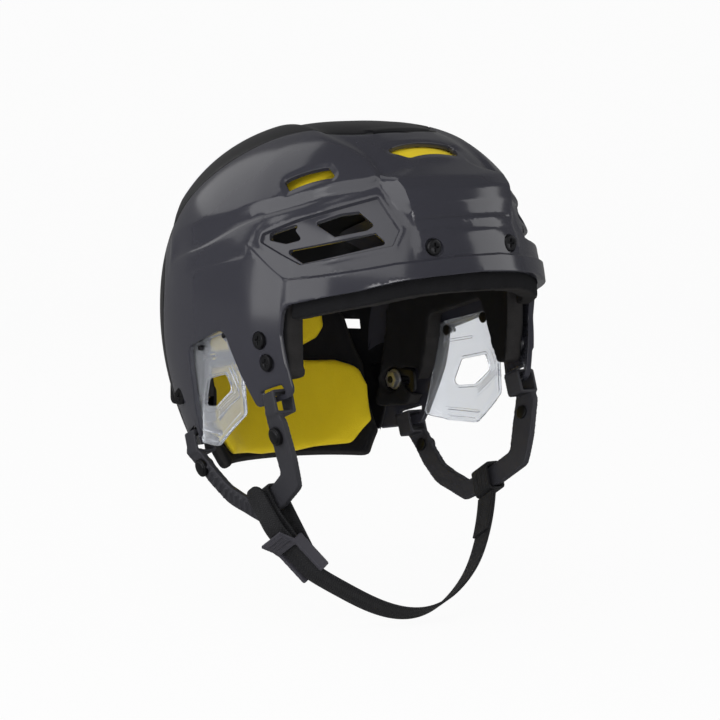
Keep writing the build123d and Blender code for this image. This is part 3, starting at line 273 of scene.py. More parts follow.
def top(x_share, y_share):
    """A place seen from above, X then Y, from its shares."""
    reach = FRONT_REACH if y_share < 0 else REAR_REACH
    return x_share * HALF_WIDTH, CENTRE_Y + y_share * reach


def placed(kind, shares):
    """Places for a list of shares, by one of the three functions above."""
    return np.array([kind(*pair) for pair in shares])


def rounded(points, radii, step=1.6):
    """A closed outline with its corners rounded and its runs divided."""
    points = [Vector(p) for p in points]
    count = len(points)
    radii = [radii] * count if isinstance(radii, (int, float)) else radii
    result = []
    for index, point in enumerate(points):
        before = points[index - 1] - point
        after = points[(index + 1) % count] - point
        radius = radii[index]
        if radius <= 0:
            result.append(point.copy())
            continue
        angle = before.angle(after)
        reach = min(radius / math.tan(angle / 2), 0.48 * before.length, 0.48 * after.length)
        radius = reach * math.tan(angle / 2)
        start = point + before.normalized() * reach
        end = point + after.normalized() * reach
        middle = point + (before.normalized() + after.normalized()).normalized() * math.hypot(reach, radius)
        turn = math.pi - angle
        steps = max(2, int(math.ceil(turn * radius / step)), int(math.ceil(turn / 0.5)))
        first, last = start - middle, end - middle
        for number in range(steps + 1):
            share = number / steps
            swing = math.sin((1 - share) * turn) * first + math.sin(share * turn) * last
            result.append(middle + swing / math.sin(turn))
    return divided(np.array([tuple(p) for p in result]), step, True)


def divided(points, step, closed):
    """The same outline with no run longer than step."""
    result = []
    count = len(points)
    for index in range(count if closed else count - 1):
        start, end = points[index], points[(index + 1) % count]
        parts = max(1, int(math.ceil(np.linalg.norm(end - start) / step)))
        for part in range(parts):
            result.append(start + (end - start) * part / parts)
    if not closed:
        result.append(points[-1])
    return np.array(result)


def curved(points, steps=8):
    """An open smooth line through the points."""
    points = np.array(points)
    padded = np.vstack([2 * points[0] - points[1], points, 2 * points[-1] - points[-2]])
    result = []
    for index in range(1, len(padded) - 2):
        p0, p1, p2, p3 = padded[index - 1:index + 3]
        for step in range(steps):
            t = step / steps
            result.append(0.5 * (
                2 * p1 + (p2 - p0) * t + (2 * p0 - 5 * p1 + 4 * p2 - p3) * t * t
                + (3 * p1 - p0 - 3 * p2 + p3) * t ** 3
            ))
    result.append(points[-1])
    return np.array(result)


def shrunk(points, depth):
    """A closed outline moved inwards."""
    points = np.array(points)
    area = 0.5 * np.sum(points[:, 0] * np.roll(points[:, 1], -1) - np.roll(points[:, 0], -1) * points[:, 1])
    ahead = np.roll(points, -1, axis=0) - np.roll(points, 1, axis=0)
    ahead /= np.linalg.norm(ahead, axis=1)[:, None] + 1e-9
    inward = np.stack([-ahead[:, 1], ahead[:, 0]], axis=1) * (1 if area > 0 else -1)
    return points + inward * depth


def inside(places, outline):
    """Whether each place lies in a closed outline."""
    x, y = places[:, 0][:, None], places[:, 1][:, None]
    ax, ay = outline[:, 0][None], outline[:, 1][None]
    bx, by = np.roll(outline[:, 0], -1)[None], np.roll(outline[:, 1], -1)[None]
    crosses = ((ay > y) != (by > y)) & (x < (bx - ax) * (y - ay) / (by - ay + 1e-12) + ax)
    return np.sum(crosses, axis=1) % 2 == 1


def distance(places, line, closed):
    """Distance of each place from a line, and on which side of it: left is positive."""
    starts = line if closed else line[:-1]
    ends = np.roll(line, -1, axis=0) if closed else line[1:]
    best = np.full(len(places), 1e9)
    hand = np.zeros(len(places))
    along = np.zeros(len(places))
    for index, (start, end) in enumerate(zip(starts, ends)):
        run = end - start
        length = float(np.dot(run, run)) + 1e-12
        share = np.clip(((places - start) @ run) / length, 0, 1)
        offset = places - (start + share[:, None] * run)
        gap = np.hypot(offset[:, 0], offset[:, 1])
        closer = gap < best
        best = np.where(closer, gap, best)
        hand = np.where(closer, np.sign(run[0] * offset[:, 1] - run[1] * offset[:, 0]), hand)
        along = np.where(closer, (index + share) / len(starts), along)
    return best, hand, along


def depth_in(places, outline):
    """How deep each place lies in a closed outline, negative outside it."""
    gap = distance(places, outline, True)[0]
    return np.where(inside(places, outline), gap, -gap)


def ramp(values):
    """A soft step from 0 to 1."""
    values = np.clip(values, 0, 1)
    return values * values * (3 - 2 * values)


def powers(y):
    """The dome's power and its reach at places along Y."""
    behind = y > CENTRE_Y
    return np.where(behind, REAR_POWER, FRONT_POWER), np.where(behind, REAR_REACH, FRONT_REACH)


def level_of(z):
    """The dome's width at a height, as a share of its widest."""
    up = np.clip((z - WIDEST_Z) / CROWN_RISE, 0, 1)
    crown = (1 - up ** POWER) ** (1 / POWER)
    return np.where(z > WIDEST_Z, crown, 1 - TAPER * ((WIDEST_Z - z) / 100) ** 2)


def from_chart(chart):
    """Places on the dome for places on the chart."""
    reach = np.hypot(chart[:, 0], chart[:, 1]) + 1e-9
    across, along = chart[:, 0] / reach, chart[:, 1] / reach
    turn = np.clip(1 - reach / CHART_REACH, 0, 1) * math.pi / 2
    drop = np.clip((reach - CHART_REACH) / SKIRT_PACE, 0, None)
    z = np.where(
        reach < CHART_REACH, WIDEST_Z + CROWN_RISE * np.sin(turn) ** (2 / POWER), WIDEST_Z - drop
    )
    level = np.where(
        reach < CHART_REACH, np.cos(turn) ** (2 / POWER), 1 - TAPER * (drop / 100) ** 2
    )
    power = np.where(along > 0, REAR_POWER, FRONT_POWER)
    far = np.where(along > 0, REAR_REACH, FRONT_REACH)
    x = np.sign(across) * np.abs(across) ** (2 / power) * HALF_WIDTH * level
    y = CENTRE_Y + np.sign(along) * np.abs(along) ** (2 / power) * far * level
    return np.stack([x, y, z], axis=1)


def to_chart(places):
    """Places on the chart for places on the dome."""
    x, y, z = places.T
    power, far = powers(y)
    up = np.clip((z - WIDEST_Z) / CROWN_RISE, 0, 1)
    turn = np.arcsin(np.clip(up ** (POWER / 2), 0, 1))
    reach = np.where(
        z > WIDEST_Z, CHART_REACH * (1 - turn / (math.pi / 2)), CHART_REACH + SKIRT_PACE * (WIDEST_Z - z)
    )
    across = np.abs(x / HALF_WIDTH) ** (power / 2)
    along = np.abs((y - CENTRE_Y) / far) ** (power / 2)
    size = np.hypot(across, along) + 1e-12
    return np.stack([
        reach * across / size * np.sign(x), reach * along / size * np.sign(y - CENTRE_Y)
    ], axis=1)


def field(places):
    """Negative inside the dome, nought on it."""
    x, y, z = places.T
    power, far = powers(y)
    size = np.abs(x / HALF_WIDTH) ** power + np.abs((y - CENTRE_Y) / far) ** power
    up = (z - WIDEST_Z) / CROWN_RISE
    crown = size ** (POWER / power) + np.abs(up) ** POWER - 1
    skirt = (size ** (1 / power) - (1 - TAPER * ((WIDEST_Z - z) / 100) ** 2)) * POWER
    return np.where(z > WIDEST_Z, crown, skirt)


def normals(places):
    """The dome's outward direction at each place."""
    result = np.zeros_like(places)
    for axis in range(3):
        step = np.zeros(3)
        step[axis] = 0.05
        result[:, axis] = field(places + step) - field(places - step)
    return result / (np.linalg.norm(result, axis=1)[:, None] + 1e-12)


def on_top(points):
    """Places on the dome under an outline seen from above."""
    x, y = points.T
    power, far = powers(y)
    level = (np.abs(x / HALF_WIDTH) ** power + np.abs((y - CENTRE_Y) / far) ** power) ** (1 / power)
    z = WIDEST_Z + CROWN_RISE * np.clip(1 - level ** POWER, 0, 1) ** (1 / POWER)
    return np.stack([x, y, z], axis=1)


def on_side(points, hand):
    """Places on the dome beside an outline seen from the side."""
    y, z = points.T
    power, far = powers(y)
    level = level_of(z)
    share = np.clip(1 - (np.abs(y - CENTRE_Y) / (far * level)) ** power, 0, 1)
    return np.stack([hand * HALF_WIDTH * level * share ** (1 / power), y, z], axis=1)


def on_front(points, behind=False):
    """Places on the dome before an outline seen from the front, or behind one."""
    x, z = points.T
    power, far = (REAR_POWER, REAR_REACH) if behind else (FRONT_POWER, FRONT_REACH)
    level = level_of(z)
    share = np.clip(1 - (np.abs(x) / (HALF_WIDTH * level)) ** power, 0, 1) ** (1 / power)
    return np.stack([x, CENTRE_Y + (1 if behind else -1) * far * level * share, z], axis=1)


def vent_axes(hand):
    """Two level directions of the vent's plane: out of it and forward in it."""
    facing = np.array([hand * math.sin(VENT_TURN), -math.cos(VENT_TURN), 0])
    forward = np.array([-hand * math.cos(VENT_TURN), -math.sin(VENT_TURN), 0])
    return facing, forward


def on_vent(points, hand):
    """Places on the dome under an outline on the vent's plane."""
    facing, forward = vent_axes(hand)
    base = np.array([0, CENTRE_Y, 0]) + points[:, :1] * forward
    base[:, 2] = points[:, 1]
    low, high = np.full(len(points), 40.0), np.full(len(points), 180.0)
    for _ in range(40):
        middle = (low + high) / 2
        out = field(base + middle[:, None] * facing) > 0
        high = np.where(out, middle, high)
        low = np.where(out, low, middle)
    return base + low[:, None] * facing


def vent_view(places, hand):
    """Places seen on the vent's plane, those behind it far off."""
    facing, forward = vent_axes(hand)
    moved = places - np.array([0, CENTRE_Y, 0])
    view = np.stack([moved @ forward, places[:, 2]], axis=1)
    view[(moved @ facing) < 20] = 999
    return view


def circle(centre, radius, count=28):
    """A closed round outline."""
    turns = np.linspace(0, 2 * math.pi, count, endpoint=False)
    return np.stack([centre[0] + radius * np.cos(turns), centre[1] + radius * np.sin(turns)], axis=1)


def tilted_slot(lip, width):
    """A strap slot over its lip, in line with the two lips."""
    (front_y, front_z), (rear_y, rear_z) = STRAP_SLOT_LIPS
    tilt = math.atan2(rear_z - front_z, rear_y - front_y)
    centre = np.array([lip[0] - 5.5 * math.sin(tilt), lip[1] + 5.5 * math.cos(tilt)])
    run = np.array([math.cos(tilt), math.sin(tilt)]) * (width / 2 + 2.0)
    rise = np.array([-math.sin(tilt), math.cos(tilt)]) * 2.75
    return rounded([centre - run - rise, centre + run - rise, centre + run + rise, centre - run + rise], 1.5)


LOWER = rounded(placed(side, LOWER_EDGE), LOWER_RADII, 2.2)
LOBES = curved(placed(top, LOBE + LOBE[:1]), 4)[:-1]
BRIM_LINE = placed(front, BRIM)
WELL_LINE = rounded(placed(front, WELL), 1.6)
WELL_FLOOR = shrunk(WELL_LINE, WELL_SLOPE)
HOLES = [rounded(placed(front, hole), 1.2, 1.2) for hole in (UPPER_FRONT_HOLE, UPPER_REAR_HOLE, LOWER_HOLE)]
TOP_SLOT_LINE = rounded(placed(top, TOP_SLOT), [3, 3, 5, 5])
LOBE_SLOT_LINE = rounded(shrunk(placed(top, LOBE_SLOT), -1.6), 0.9)
STRAP_SLOTS = [tilted_slot(lip, width) for lip, width in zip(STRAP_SLOT_LIPS, STRAP_SLOT_WIDTHS)]
FOLDS = [(curved(placed(side, line), 5), rise, reach) for line, rise, reach in FOLD_LINES]
PANEL_Z = np.array([WIDEST_Z + row[0] * CROWN_RISE for row in PANEL])
PANEL_WIDTH = np.array([row[1] * HALF_WIDTH for row in PANEL])
PANEL_SIDE = np.array([CENTRE_Y + row[2] * FRONT_REACH for row in PANEL])
PANEL_MIDDLE = np.array([CENTRE_Y + row[3] * FRONT_REACH for row in PANEL])


def mirrored(points):
    """The same outline on the other hand."""
    return points * np.array([-1, 1])


def plan(places, hand=1):
    """Places seen from above, mirrored for the other hand."""
    return np.stack([places[:, 0] * hand, places[:, 1]], axis=1)


def seam_lines(shift):
    """The seam seen from above and from the side, open and smooth."""
    above = curved(placed(top, SEAM_TOP), 6) + np.array([0, shift])
    beside = curved(placed(side, SEAM_SIDE), 6) + np.array([shift, 0])
    return above, beside


def behind_seam(places, shift):
    """Whether places lie behind the seam moved along Y."""
    above, beside = seam_lines(shift)
    rear_half = np.vstack([above, [(150, above[-1, 1] + 30), (150, 260), (0, 260)]])
    rear_side = np.vstack([beside, [(260, -170), (260, beside[0, 1])]])
    over = inside(plan(places, np.sign(places[:, 0])), rear_half) & (places[:, 2] > TURN_Z)
    return over | (inside(places[:, 1:], rear_side) & (places[:, 2] <= TURN_Z))


def plateau_edge(z):
    """Half width of the forehead panel's flat part at a height."""
    return np.minimum(np.interp(z, [15, 35, 66], [37.0, 35.5, 40.0]), np.interp(z, PANEL_Z, PANEL_WIDTH))


def panel_front(x, z):
    """How far forward the forehead panel stands at a place seen from the front."""
    width = np.interp(z, PANEL_Z, PANEL_WIDTH)
    at_side = np.interp(z, PANEL_Z, PANEL_SIDE)
    at_middle = np.interp(z, PANEL_Z, PANEL_MIDDLE)
    edge = plateau_edge(z)
    share = np.minimum(np.abs(x), edge) / width
    y = at_middle + (at_side - at_middle) * share ** 2
    slope = np.interp(z, [15, 30, 38, 50, 61, 66], [1.6, 1.6, 1.0, 2.2, 3.6, 3.6])
    y = y + np.clip(np.abs(x) - edge, 0, None) * slope
    y = y + np.clip(z - PANEL_Z[-1], 0, None) * 2.2 + np.clip(PANEL_Z[0] - 2 - z, 0, None) * 1.6
    for height, half in GROOVES:
        near = ramp((half - np.abs(x)) / 5)
        y = y + 0.9 * near * np.exp(-(((z - height - groove_rise(half, x)) / 0.9) ** 2))
    return y


def groove_rise(half, x):
    """How far a groove's middle arches over its ends."""
    return 0.0013 * (half ** 2 - x ** 2)


def panel_foot():
    """Where the panel's faces meet the dome, seen from the front."""
    across = np.arange(0, 64, 0.25)
    result = []
    for z in np.linspace(16, 71.5, 34):
        heights = np.full(len(across), z)
        dome = on_front(np.stack([across, heights], axis=1))[:, 1]
        proud = across[panel_front(across, heights) < dome - 0.05]
        if len(proud):
            result.append((proud.max(), z))
    return np.array(result)


def recess(places, columns, spot):
    """1 in a screw's recess, 0 outside it."""
    gap = np.hypot(places[:, columns[0]] - spot[0], places[:, columns[1]] - spot[1])
    return ramp((SCREW_RECESS - gap) / RECESS_SLOPE)


def raised(places):
    """How far the lobes, the brim and the folds stand proud of the dome."""
    lobes = depth_in(plan(places, np.sign(places[:, 0])), LOBES)
    height = 2.5 * ramp(lobes / 5.0) * (places[:, 2] > WIDEST_Z + 5)
    brim = 2.0 * ramp(depth_in(places[:, [0, 2]], BRIM_LINE) / 1.6 + 0.3)
    fade = ramp((CENTRE_Y + BRIM_BACK * FRONT_REACH - places[:, 1]) / 12)
    height = np.maximum(height, brim * fade)
    beside = places[:, 1:]
    for line, rise, reach in FOLDS:
        gap, hand, along = distance(beside, line, False)
        near = ramp(np.minimum(along, 1 - along) * 6) * np.exp(-((gap / 26) ** 2))
        height = height + rise * near * (ramp(0.5 + hand * gap / reach) - 0.5) * (np.abs(places[:, 0]) > 34)
    crown = ramp((places[:, 2] - 40) / 30)
    return height - 1.2 * crown * np.exp(-((places[:, 0] / 24) ** 2)) * (places[:, 1] > -62)


def hollowed(places, height):
    """The height with the wells and recesses sunk in, and where the wells and thin walls lie."""
    well = np.zeros(len(places))
    thin = np.zeros(len(places))
    for hand in (-1, 1):
        view = vent_view(places, hand)
        depth = depth_in(view, WELL_LINE)
        sunk = np.clip(depth / WELL_SLOPE, 0, 1)
        well = np.maximum(well, sunk)
        height = np.where(depth > 0, height * (1 - sunk) - WELL_DEPTH * sunk, height)
        rim = np.exp(-(((depth + 1.2) / 1.3) ** 2)) * 0.2
        height = np.where(depth <= 0, height + rim, height)
        slot = depth_in(plan(places, hand), LOBE_SLOT_LINE)
        height = height - 1.0 * ramp(1 + slot / 3.2) * (places[:, 2] > UPPER_Z)
        thin = np.maximum(thin, ramp(1 + slot / 4.0) * (places[:, 2] > UPPER_Z))
    slot = depth_in(plan(places), TOP_SLOT_LINE)
    height = height - 1.6 * ramp(1 + slot / 5.0) * (places[:, 2] > UPPER_Z)
    for spot in FRONT_SCREWS:
        height = height - 1.4 * recess(places, (0, 2), spot) * (places[:, 1] < -60)
    for spot in SIDE_SCREWS:
        height = height - 1.4 * recess(places, (1, 2), spot)
    for line in STRAP_SLOTS:
        slot = depth_in(places[:, 1:], line)
        height = height + 0.6 * np.exp(-(((slot + 2.0) / 1.2) ** 2)) * (np.abs(places[:, 0]) > 40)
    return height, well, thin


def shaped(places):
    """The outer and inner faces of the shell over places of the dome, the forehead panel pushed out."""
    normal = normals(places)
    height, well, thin = hollowed(places, raised(places))
    outer = places + normal * height[:, None]
    wall = WALL + 0.6 * well - 1.6 * thin
    inner = places + normal * (np.minimum(height, 0) - wall)[:, None]
    far_behind = -9
    proud = outer[:, 1] - panel_front(outer[:, 0], outer[:, 2])
    proud = np.where((places[:, 1] < -40) & (np.abs(places[:, 0]) < 66), proud, far_behind)
    moved = 0.5 * (proud + np.sqrt(proud ** 2 + 1)) - 0.5 * (far_behind + math.sqrt(far_behind ** 2 + 1))
    for spot in FRONT_SCREWS:
        moved = moved - 1.2 * recess(places, (0, 2), spot)
    moved = np.clip(moved, 0, None)
    outer[:, 1] -= moved
    inner[:, 1] -= moved
    return outer, inner


def boxed(line, margin):
    """The chart's box round a line on the dome."""
    places = to_chart(line)
    return places.min(axis=0) - margin, places.max(axis=0) + margin


def hex_grid(spacing, reach):
    """Even rows of points round the origin, out to a reach."""
    rows = int(reach / (spacing * 0.866)) + 1
    result = []
    for row in range(-rows, rows + 1):
        y = row * spacing * 0.866
        shift = spacing / 2 if row % 2 else 0
        for column in range(-int(reach / spacing) - 1, int(reach / spacing) + 2):
            x = column * spacing + shift
            if x * x + y * y < reach * reach:
                result.append((x, y))
    return np.array(result)


def netted(grid, spacings, chains, keep):
    """A flat net of triangles where keep holds, its edges along the chains."""
    fixed = np.vstack([chain for chain, closed in chains])
    tree = KDTree(len(fixed))
    for index, point in enumerate(fixed):
        tree.insert((point[0], point[1], 0), index)
    tree.balance()
    near = [tree.find((p[0], p[1], 0))[2] for p in grid]
    points = [Vector(p) for p, gap, spacing in zip(grid, near, spacings) if gap > 0.62 * spacing]
    edges = []
    for chain, closed in chains:
        start = len(points)
        points += [Vector(p) for p in chain]
        edges += [(start + i, start + i + 1) for i in range(len(chain) - 1)]
        if closed:
            edges.append((start + len(chain) - 1, start))
    flat, _, faces, _, _, _ = delaunay_2d_cdt(points, edges, [], 0, 0.02)
    flat = np.array([tuple(p) for p in flat])
    faces = np.array([list(f) for f in faces])
    faces = faces[keep(flat[faces].mean(axis=1))]
    used = np.unique(faces)
    number = np.full(len(flat), -1)
    number[used] = np.arange(len(used))
    return flat[used], number[faces]


def charted(name, keep, lines, spacing, shape, fine=None):
    """A shell over part of the chart: faces where keep holds, edges along the lines."""
    chains = [(to_chart(line), closed) for line, closed in lines]
    grid = hex_grid(spacing, 236)
    grid = grid[keep(from_chart(grid))]
    spacings = np.full(len(grid), spacing)
    if fine:
        for low, high, small in fine:
            within = np.all((grid > low) & (grid < high), axis=1)
            grid, spacings = grid[~within], spacings[~within]
            dense = hex_grid(small, 236)
            dense = dense[np.all((dense > low) & (dense < high), axis=1)]
            dense = dense[keep(from_chart(dense))]
            grid = np.vstack([grid, dense])
            spacings = np.concatenate([spacings, np.full(len(dense), small)])
    flat, faces = netted(grid, spacings, chains, lambda middles: keep(from_chart(middles)))
    places = from_chart(flat)
    outer, inner = shape(places)
    return walled(name, outer, inner, faces, normals(places))


def walled(name, outer, inner, faces, outward):
    """A closed wall between two faces on one net, its edges marked for rounding."""
    corner = outer[faces]
    facing = np.cross(corner[:, 1] - corner[:, 0], corner[:, 2] - corner[:, 0])
    if np.sum(facing * outward[faces].mean(axis=1)) < 0:
        faces = faces[:, ::-1]
    count = len(outer)
    bm = bmesh.new()
    weight = bm.edges.layers.float.new("bevel_weight_edge")
    verts = [bm.verts.new(p * MM) for p in np.vstack([outer, inner])]
    for a, b, c in faces:
        bm.faces.new((verts[a], verts[b], verts[c]))
        bm.faces.new((verts[count + c], verts[count + b], verts[count + a])).material_index = 1
    uses = {}
    for a, b, c in faces:
        for pair in ((a, b), (b, c), (c, a)):
            uses[pair] = uses.get(pair, 0) + 1
    for a, b in [pair for pair in uses if (pair[1], pair[0]) not in uses]:
        bm.faces.new((verts[b], verts[a], verts[count + a], verts[count + b]))
        for start, end in ((a, b), (count + a, count + b)):
            edge = bm.edges.get((verts[start], verts[end]))
            if edge:
                edge[weight] = 1.0
    return made(name, bm)


def made(name, bm):
    """A new object in the scene from a bmesh."""
    mesh = bpy.data.meshes.new(name)
    bm.to_mesh(mesh)
    bm.free()
    obj = bpy.data.objects.new(name, mesh)
    bpy.context.scene.collection.objects.link(obj)
    return obj


def chosen(obj):
    """Makes one object the selected and active one."""
    bpy.ops.object.select_all(action="DESELECT")
    obj.select_set(True)
    bpy.context.view_layer.objects.active = obj


def applied(obj):
    """Applies every modifier of an object."""
    chosen(obj)
    for modifier in list(obj.modifiers):
        bpy.ops.object.modifier_apply(modifier=modifier.name)


def smooth(obj, degrees):
    """Shades a piece smooth, except over edges sharper than an angle."""
    chosen(obj)
    bpy.ops.object.shade_smooth_by_angle(angle=math.radians(degrees))


def bevelled(obj, width, degrees=35, segments=2, by_weight=False):
    """Rounds the edges that are sharper than an angle, or the marked ones."""
    modifier = obj.modifiers.new("edges", "BEVEL")
    modifier.width = width * MM
    modifier.segments = segments
    modifier.limit_method = "WEIGHT" if by_weight else "ANGLE"
    modifier.angle_limit = math.radians(degrees)
    modifier.use_clamp_overlap = not by_weight
    applied(obj)


def copied(name, nodes, flatten=1.5):
    """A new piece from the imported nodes' meshes, with their points merged."""
    bm = bmesh.new()
    for node in nodes:
        bm.from_mesh(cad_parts[node].data)
    bmesh.ops.remove_doubles(bm, verts=bm.verts, dist=2e-6)
    if flatten:
        bmesh.ops.dissolve_limit(bm, angle_limit=math.radians(flatten), verts=bm.verts, edges=bm.edges)
    bmesh.ops.recalc_face_normals(bm, faces=bm.faces)
    return made(name, bm)


def joined(name, parts):
    """One object from several, named anew."""
    bpy.ops.object.select_all(action="DESELECT")
    for part in parts:
        part.select_set(True)
    bpy.context.view_layer.objects.active = parts[0]
    bpy.ops.object.join()
    parts[0].name = name
    parts[0].data.name = name
    return parts[0]


def dressed(obj, finish, slot, body, *nodes):
    """Gives a piece its material, the inner plastic too where the slot is a shell's, the body it rides on, and hides
    the nodes it replaces.
    """
    obj.data.materials.clear()
    obj.data.materials.append(finish)
    if slot in ("front_plastic", "rear_plastic"):
        obj.data.materials.append(material("inner_plastic"))
    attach(obj, body)
    if nodes:
        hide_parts(*nodes)
    return obj


class Nodes:
    """A material's node tree, written row by row."""

    def __init__(self, name):
        self.material = bpy.data.materials.new(name)
        self.material.use_nodes = True
        self.tree = self.material.node_tree
        self.shader = self.tree.nodes["Principled BSDF"]

    def add(self, kind, **values):
        node = self.tree.nodes.new(kind)
        for key, value in values.items():
            if hasattr(node, key):
                setattr(node, key, value)
            else:
                node.inputs[key.replace("_", " ")].default_value = value
        return node

    def link(self, source, target):
        self.tree.links.new(source, target)

    def place(self, scale=(1, 1, 1)):
        spot = self.add("ShaderNodeTexCoord")
        mapping = self.add("ShaderNodeMapping")
        mapping.inputs["Scale"].default_value = scale
        self.link(spot.outputs["Object"], mapping.inputs["Vector"])
        return mapping.outputs["Vector"]

    def noise(self, vector, scale, detail=3.0, roughness=0.5):
        node = self.add("ShaderNodeTexNoise", Scale=scale, Detail=detail, Roughness=roughness)
        self.link(vector, node.inputs["Vector"])
        return node.outputs["Fac"]

    def cells(self, vector, scale):
        node = self.add("ShaderNodeTexVoronoi", Scale=scale)
        self.link(vector, node.inputs["Vector"])
        return node.outputs["Distance"]

    def between(self, factor, low, high, start=0.0, end=1.0):
        node = self.add("ShaderNodeMapRange")
        node.inputs["From Min"].default_value = start
        node.inputs["From Max"].default_value = end
        node.inputs["To Min"].default_value = low
        node.inputs["To Max"].default_value = high
        self.link(factor, node.inputs["Value"])
        return node.outputs["Result"]

    def colours(self, factor, low, high):
        node = self.add("ShaderNodeMix", data_type="RGBA")
        node.inputs[6].default_value = (*low, 1)
        node.inputs[7].default_value = (*high, 1)
        self.link(factor, node.inputs[0])
        return node.outputs[2]

    def maths(self, operation, first, second):
        node = self.add("ShaderNodeMath", operation=operation)
        for socket, value in zip(node.inputs, (first, second)):
            if isinstance(value, (int, float)):
                socket.default_value = value
            else:
                self.link(value, socket)
        return node.outputs[0]

    def bump(self, height, strength, depth, previous=None):
        node = self.add("ShaderNodeBump", Strength=strength, Distance=depth)
        self.link(height, node.inputs["Height"])
        if previous:
            self.link(previous, node.inputs["Normal"])
        self.link(node.outputs["Normal"], self.shader.inputs["Normal"])
        return node.outputs["Normal"]

    def set(self, **values):
        for key, value in values.items():
            self.shader.inputs[key.replace("_", " ")].default_value = value


def shell_material(name, low, high, dull=0.0, shine=0.5):
    """Glossy moulded plastic: faint flow marks and orange peel."""
    nodes = Nodes(name)
    spot = nodes.place()
    broad = nodes.noise(spot, 9.0, 2.0)
    nodes.link(nodes.colours(broad, low, high), nodes.shader.inputs["Base Color"])
    rough = nodes.between(nodes.noise(spot, 60.0, 3.0), 0.13 + dull, 0.18 + dull)
    nodes.link(rough, nodes.shader.inputs["Roughness"])
    nodes.bump(nodes.noise(spot, 420.0, 2.0), 0.035, 0.0004)
    nodes.set(IOR=1.5, Specular_IOR_Level=shine, Coat_Weight=0.25 * shine, Coat_Roughness=0.08)
    return nodes.material


def matte_material(name, low, high, rough, grain, strength):
    """Moulded plastic with a fine leathery grain."""
    nodes = Nodes(name)
    spot = nodes.place()
    nodes.link(nodes.colours(nodes.noise(spot, 30.0), low, high), nodes.shader.inputs["Base Color"])
    nodes.link(nodes.between(nodes.noise(spot, 160.0), rough - 0.07, rough + 0.07), nodes.shader.inputs["Roughness"])
    nodes.bump(nodes.cells(spot, grain), strength, 0.0003)
    nodes.set(IOR=1.46, Specular_IOR_Level=0.3)
    return nodes.material


def metal_material(name, low, high, rough):
    """Turned or plated metal with fine tool marks."""
    nodes = Nodes(name)
    spot = nodes.place()
    nodes.link(nodes.colours(nodes.noise(spot, 220.0), low, high), nodes.shader.inputs["Base Color"])
    turned = nodes.noise(nodes.place((900, 80, 900)), 1.0, 2.0)
    nodes.link(nodes.between(turned, rough - 0.06, rough + 0.1), nodes.shader.inputs["Roughness"])
    nodes.bump(turned, 0.12, 0.0001)
    nodes.set(Metallic=0.85)
    return nodes.material


def foam_material(name):
    """Black cell foam with a smooth skin and lighter, ribbed cut edges."""
    nodes = Nodes(name)
    spot = nodes.place()
    cut = nodes.add("ShaderNodeAttribute", attribute_name="cut").outputs["Fac"]
    grey = nodes.noise(spot, 120.0, 4.0)
    skin = nodes.colours(grey, (0.007, 0.007, 0.008), (0.014, 0.014, 0.016))
    edge = nodes.colours(grey, (0.018, 0.017, 0.017), (0.040, 0.038, 0.038))
    mix = nodes.add("ShaderNodeMix", data_type="RGBA")
    nodes.link(cut, mix.inputs[0])
    nodes.link(skin, mix.inputs[6])
    nodes.link(edge, mix.inputs[7])
    nodes.link(mix.outputs[2], nodes.shader.inputs["Base Color"])
    nodes.link(nodes.between(grey, 0.72, 0.9), nodes.shader.inputs["Roughness"])
    cells = nodes.bump(nodes.cells(spot, 1500.0), 0.25, 0.0005)
    ribs = nodes.noise(nodes.place((30, 30, 620)), 1.0, 1.0)
    nodes.bump(nodes.maths("MULTIPLY", ribs, cut), 0.5, 0.0008, cells)
    nodes.set(IOR=1.4, Specular_IOR_Level=0.2)
    return nodes.material


def pad_material(name, low, high):
    """Brushed fabric with a knitted grain."""
    nodes = Nodes(name)
    spot = nodes.place()
    broad = nodes.noise(spot, 26.0, 4.0)
    nodes.link(nodes.colours(broad, low, high), nodes.shader.inputs["Base Color"])
    knit = nodes.maths("ADD", nodes.cells(spot, 1100.0), nodes.noise(spot, 900.0, 2.0))
    nodes.link(nodes.between(broad, 0.62, 0.8), nodes.shader.inputs["Roughness"])
    fine = nodes.bump(knit, 0.35, 0.0005)
    nodes.bump(nodes.noise(spot, 70.0, 3.0), 0.25, 0.002, fine)
    nodes.set(Sheen_Weight=0.08, Sheen_Roughness=0.5, IOR=1.4, Specular_IOR_Level=0.25)
    return nodes.material


def web_material(name):
    """Black herringbone webbing, its weave laid along the strap, with painted shade in the weave's hollows and
    painted highlight on its crests.
    """
    nodes = Nodes(name)
    spot = nodes.add("ShaderNodeAttribute", attribute_name="weave").outputs["Vector"]
    split = nodes.add("ShaderNodeSeparateXYZ")
    nodes.link(spot, split.inputs[0])
    along, across = split.outputs[0], split.outputs[1]
    chevron = nodes.maths("PINGPONG", across, 4.0)
    twill = nodes.maths("SINE", nodes.maths("MULTIPLY", nodes.maths("ADD", along, chevron), 4.2), 0.0)
    warp = nodes.maths("SINE", nodes.maths("MULTIPLY", across, 6.3), 0.0)
    height = nodes.maths("ADD", nodes.maths("MULTIPLY", twill, 0.6), nodes.maths("MULTIPLY", warp, 0.4))
    # Painted shade and highlight: the weave's height sets the colour, dark in its hollows and lighter on its crests.
    shade = nodes.between(height, 0.0, 1.0, -1.0, 1.0)
    nodes.link(nodes.colours(shade, (0.005, 0.005, 0.006), (0.022, 0.022, 0.025)), nodes.shader.inputs["Base Color"])
    nodes.link(nodes.between(shade, 0.75, 0.55), nodes.shader.inputs["Roughness"])
    weave = nodes.bump(height, 0.6, 0.0003)
    nodes.bump(nodes.noise(nodes.place(), 1300.0, 2.0), 0.3, 0.0002, weave)
    nodes.set(Sheen_Weight=0.06, Sheen_Roughness=0.4, Specular_IOR_Level=0.25)
    return nodes.material


